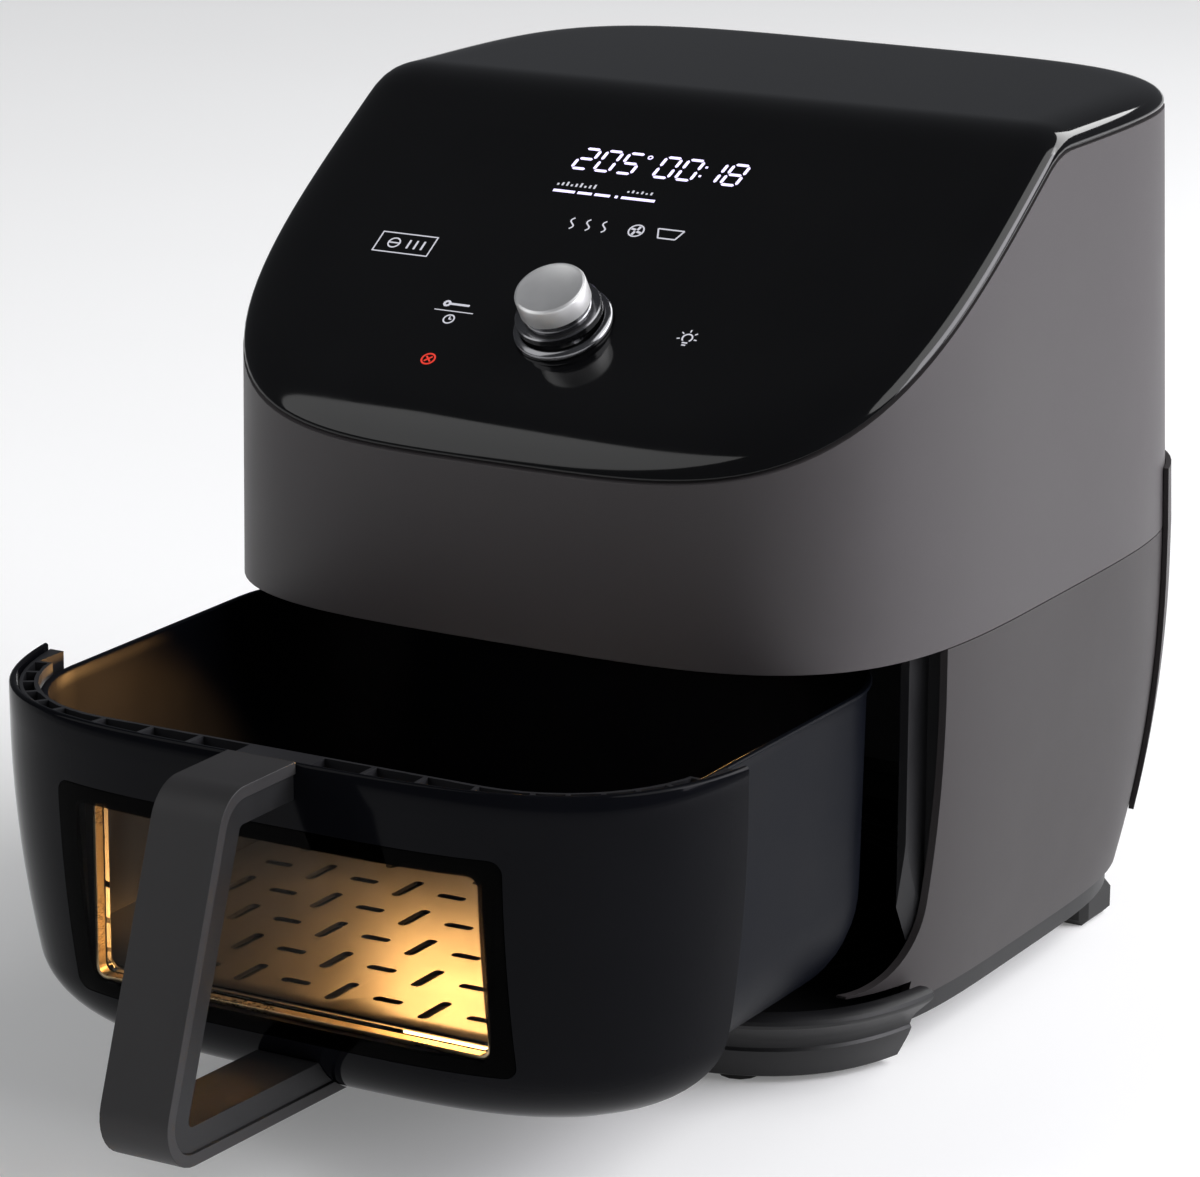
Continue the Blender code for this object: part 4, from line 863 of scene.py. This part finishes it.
def make_fascia():
    top = FASCIA_TOP_Z
    crest = [(top - 0.0010, 0.0), (top - 0.0004, 0.0003), (top, 0.0009), (top, 0.0016),
             (top - 0.0004, 0.0022)]
    outside = [housing_ring(tucked(z, inset), z) for z, inset in reversed(crest)]
    outside += [fascia_ring(z) for z in fascia_levels()]
    inside = [fascia_ring(z, FASCIA_SKIN) for z in reversed(fascia_levels(FASCIA_SKIN))]
    skin = loft("drawer_fascia", outside + inside, closed=True)
    pane_way = rounded_box_outline((-0.0920, 0.0560), (0.0920, 0.1380), 0.005)
    cut(skin, behind_jambs(), prism("pane_way", pane_way, -0.2, -0.12, "Y"))
    finish_piece(skin, "drawer", FASCIA_LOOK, DRAWER_Y, "fascia_skin", 0.0003)

    heights = levels(0.1450, 0.0500, 12)
    pane = loft("sight_pane", [fascia_ring(z) for z in heights]
                + [fascia_ring(z, FASCIA_SKIN) for z in reversed(heights)], closed=True)
    blank = rounded_box_outline((-0.0920 + GAP, 0.0560 + GAP), (0.0920 - GAP, 0.1380 - GAP), 0.0047)
    combine(pane, "INTERSECT", prism("pane_blank", blank, -0.2, -0.12, "Y"))
    finish_piece(pane, "drawer", SMOKED, DRAWER_Y, "window_outer")


def make_rim():
    """Moulded frame between the skin and the basket, ribbed on top, with honeycomb ears."""
    clear = FASCIA_SKIN + 2 * GAP
    heights = [0.1600, 0.150, 0.138, 0.125, 0.112, 0.100, 0.088, 0.077, 0.068, 0.059, 0.055, 0.051, 0.0475]
    rim = loft("drawer_rim", [fascia_ring(z, clear) for z in heights])
    wide = -BASKET_LIP - 0.0006
    room = basket_bottom(0.0010) + [(-0.0010, 0.1500), (wide, 0.1510), (wide, 0.170)]
    sight = rounded_box_outline((-0.0900, 0.0580), (0.0900, 0.1370), 0.005)
    cut(rim, behind_jambs(), loft("basket_room", [basket_ring(inset, z) for inset, z in room]),
        box("post_room", (-0.1394, -0.104, 0.0), (0.1394, 0.1, 0.3)),
        prism("sight_way", sight, -0.2, 0.0, "Y"))
    cells = []
    for inner, outer in rim_cells():
        ring = [*inner, *reversed(outer)]
        cells.append(prism("cell", ring, 0.1460, 0.17, "Z"))
    cut(rim, *cells)
    finish_piece(rim, "drawer", RIM, DRAWER_Y, "rim_frame", 0.0003)


def rim_cells():
    """Pockets round the rim's top: runs of points along their outer and inner edges, between ribs."""
    wall, rib, deepest, step = FASCIA_SKIN + 2 * GAP + 0.0012, 0.0013, 0.016, 0.0005
    track = [Vector((u * (HALF_WIDTH - wall), v * (HALF_DEPTH - wall)))
             for u, v in unit_plan(2400) if v < -0.55]
    track.sort(key=lambda p: math.atan2(p.x, -p.y))
    middle = min(range(len(track)), key=lambda i: abs(track[i].x))
    cells = []
    for side in (1, -1):
        run, walked, i = [], 0.0, middle
        while 0 < i < len(track) - 1:
            here, ahead = track[i], track[i + side]
            walked += (ahead - here).length
            i += side
            pitch = 0.0205 if abs(ahead.x) < 0.108 else 0.0120
            across = Vector((here.y - ahead.y, ahead.x - here.x)).normalized() * side
            depth = 0.0
            while depth < deepest and rim_room(ahead + across * (depth + step)):
                depth += step
            if abs(ahead.x) > HANDLE_WIDTH / 2 + 0.0015 and ahead.y < OPENING_Y - 0.004:
                run.append((ahead.copy(), ahead + across * depth, walked))
            if run and run[-1][2] - run[0][2] > pitch - rib:
                if min((inner - outer).length for outer, inner, _ in run) > 0.0012:
                    picked = run[::max(1, len(run) // 6)] + [run[-1]]
                    cells.append(([p[1] for p in picked], [p[0] for p in picked]))
                run, skipped = [], 0.0
                while skipped < rib and 0 < i < len(track) - 1:
                    skipped += (track[i + side] - track[i]).length
                    i += side
    return cells


def rim_room(point):
    """Whether a point of the rim's top is clear of the basket's lip and the posts' room."""
    grow = BASKET_LIP + 0.0006
    corner = BASKET_CORNER + grow
    middle_y, half_y = (BASKET_FRONT_Y + BASKET_BACK_Y) / 2, (BASKET_BACK_Y - BASKET_FRONT_Y) / 2 + grow
    over = Vector((max(0.0, abs(point.x) - (BASKET_HALF_WIDTH + grow - corner)),
                   max(0.0, abs(point.y - middle_y) - (half_y - corner))))
    return over.length - corner > 0.0012 and (point.y < -0.1052 or abs(point.x) > 0.1406)


def make_window():
    pane = prism("inner_pane", rounded_box_outline((-0.0812, 0.0638), (0.0812, 0.1297), 0.0037),
                 BASKET_FRONT_Y + 0.0001, BASKET_FRONT_Y + 0.0030, "Y")
    finish_piece(pane, "drawer", CLEAR, DRAWER_Y, "window_inner")
    front, back = BASKET_FRONT_Y - 0.0015, BASKET_FRONT_Y - GAP
    outline = rounded_box_outline((-0.0850, 0.0605), (0.0850, 0.1330), 0.0050)
    trim = prism("pane_trim", outline, front, back, "Y")
    sleeve = prism("sleeve", rounded_box_outline((-0.0826, 0.0624), (0.0826, 0.1311), 0.0044),
                   front - 0.0032, front + 0.0005, "Y")
    combine(trim, "UNION", sleeve)
    cut(trim, prism("trim_way", rounded_box_outline(*SIGHT, 0.0037), -0.2, 0.0, "Y"))
    finish_piece(trim, "drawer", BRASSY, DRAWER_Y, "window_frame", 0.0002)


def make_handle():
    half = HANDLE_THICKNESS / 2
    outer, inner = handle_line(half - 0.0002), handle_line(-half)
    split_out, split_in = handle_line(HANDLE_SPLIT + GAP / 2), handle_line(HANDLE_SPLIT - GAP / 2)
    wide, narrow = HANDLE_WIDTH / 2, HANDLE_WIDTH / 2 - 0.001
    shells = ((prism("handle_shell", outer + split_out[::-1], -wide, wide), GREY, "handle_grey",
               "handle_outer", 0.0011),
              (prism("handle_core", split_in + inner[::-1], -narrow, narrow), DARK_GREY, "black_plastic",
               "handle_inner", 0.0020))
    for shell, look, slot, node, edge in shells:
        seat = loft("seat", [housing_ring(tucked(FASCIA_TOP_Z, -GAP), FASCIA_TOP_Z + 0.003)]
                    + [fascia_ring(z, -GAP) for z in fascia_levels(-GAP, FASCIA_BOTTOM_Z - GAP)])
        cut(shell, seat)
        finish_piece(shell, "drawer", look, DRAWER_Y, node, edge, steps=3)


def make_plate():
    """Slotted lift-out plate, on four soft bumpers."""
    low, high = 0.0600, 0.0616
    profile = ((0.0131, low), (0.0125, low + 0.0004), (0.0125, high - 0.0004), (0.0131, high))
    plate = loft("crisper_tray", [basket_ring(inset, z) for inset, z in profile])
    middle = (BASKET_FRONT_Y + BASKET_BACK_Y) / 2
    ways = []
    for column in range(-5, 6):
        for row in range(-3, 4):
            x, y = column * 0.0195, middle + row * 0.0265
            if abs(column) == 5 and abs(row) == 3:
                continue
            if (column + row) % 2:
                half_x, half_y = 0.0022, 0.0095
            else:
                half_x, half_y = 0.0060, 0.0022
            outline = rounded_box_outline((x - half_x, y - half_y), (x + half_x, y + half_y), 0.0021)
            ways.append(prism("way", outline, 0.05, 0.07, "Z"))
    cut(plate, *ways)
    finish_piece(plate, "crisper", COATING, DRAWER_Y, "crisper_plate", 0.0002)
    for number in range(1, 5):
        low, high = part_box("plate_bumper_%d" % number)
        middle, radius = (low + high) / 2, 0.0049
        height = high.z - low.z
        profile = [(0.0, 0.0), (radius * 0.8, 0.0), (radius, 0.0010), (radius, height * 0.45),
                   (radius * 0.82, height * 0.55), (radius * 0.82, height * 0.72), (radius, height * 0.80),
                   (radius, height - 0.0006), (radius * 0.85, height), (0.0, height)]
        foot = turned("tray_bumper_%d" % number, profile, 32, Matrix.Translation((middle.x, middle.y, low.z)))
        finish_piece(foot, "crisper", RUBBER, stands_for="plate_bumper_%d" % number, sharp=28)


# ---- stage ----
def make_stage():
    bm = bmesh.new()
    bmesh.ops.create_grid(bm, x_segments=1, y_segments=1, size=14.0)
    floor = from_bmesh("floor", bm)
    made, nodes, links, shader = new_look("pale_floor")
    place = nodes.new("ShaderNodeTexCoord").outputs["Object"]
    drift = noise(nodes, links, place, 3.0, 2.0)
    links.new(two_tone(nodes, links, drift, (0.86, 0.86, 0.86), (0.89, 0.89, 0.89)),
              shader.inputs["Base Color"])
    put(shader, Roughness=0.7, Specular_IOR_Level=0.2, Emission_Color=(1.0, 1.0, 1.0, 1.0),
        Emission_Strength=0.16)
    floor.data.materials.append(made)

    world = bpy.data.worlds.new("studio")
    bpy.context.scene.world = world
    world.use_nodes = True
    put(world.node_tree.nodes["Background"], Color=(0.9, 0.93, 1.0, 1.0), Strength=0.10)

    def lamp(name, kind, where, aim, power, size=None, **more):
        data = bpy.data.lights.new(name, kind)
        data.energy = power
        if size:
            data.shape, data.size, data.size_y = "RECTANGLE", *size
        for key, value in more.items():
            setattr(data, key, value)
        made = link(bpy.data.objects.new(name, data))
        made.location = where
        made.rotation_euler = (Vector(aim) - Vector(where)).to_track_quat("-Z", "Y").to_euler()

    lamp("key_sun", "SUN", (2.2, 0.5, 1.7), (0, 0, 0), 2.0, angle=math.radians(60))
    lamp("front_box", "AREA", (-1.50, -1.42, 1.62), (0, -0.05, 0.25), 17.0, (1.6, 2.5))
    lamp("side_box", "AREA", (2.1, 0.9, 1.0), (0, 0.1, 0.15), 38.0, (1.6, 1.4), color=(0.95, 0.93, 1.0))
    lamp("top_box", "AREA", (0.9, 1.9, 1.6), (0, 0.1, 0.3), 26.0, (1.8, 0.9))
    lamp("basket_glow", "AREA", (0.0, -0.003, 0.138), (0.0, -0.120, 0.045), 2.3, (0.16, 0.04),
         color=(1.0, 0.52, 0.17), spread=math.radians(115))


def make_camera():
    data = bpy.data.cameras.new("photo_view")
    camera = link(bpy.data.objects.new("photo_view", data))
    data.sensor_width = 36.0
    data.lens = 147.4
    camera.location = (0.9043, -1.6533 + HOUSING_Y, 0.6711)
    aim = Vector((-0.0221, -0.05 + HOUSING_Y, 0.155))
    turn = (aim - camera.location).to_track_quat("-Z", "Y").to_matrix().to_4x4()
    camera.rotation_euler = (turn @ Matrix.Rotation(CAMERA_ROLL, 4, "Z")).to_euler()
    data.shift_x, data.shift_y = 0.0020, -0.0004
    data.clip_start, data.clip_end = 0.05, 60.0
    bpy.context.scene.camera = camera
    bpy.context.scene.view_settings.view_transform = "Standard"


make_camera()
make_stage()
make_upper_housing()
make_lower_housing()
make_rear_cover()
make_exhaust_grille()
make_base()
make_panel()
make_display()
make_dial()
make_heater_pieces()
make_basket()
make_fascia()
make_rim()
make_window()
make_handle()
make_plate()
for name in ("front_frame", "foot_rear_left", "foot_rear_right", "foot_front_left", "foot_front_right",
             "cord_gland", "rail_left", "rail_right", "chamber_liner"):
    soften(frame["nodes"][name], 0.0004)
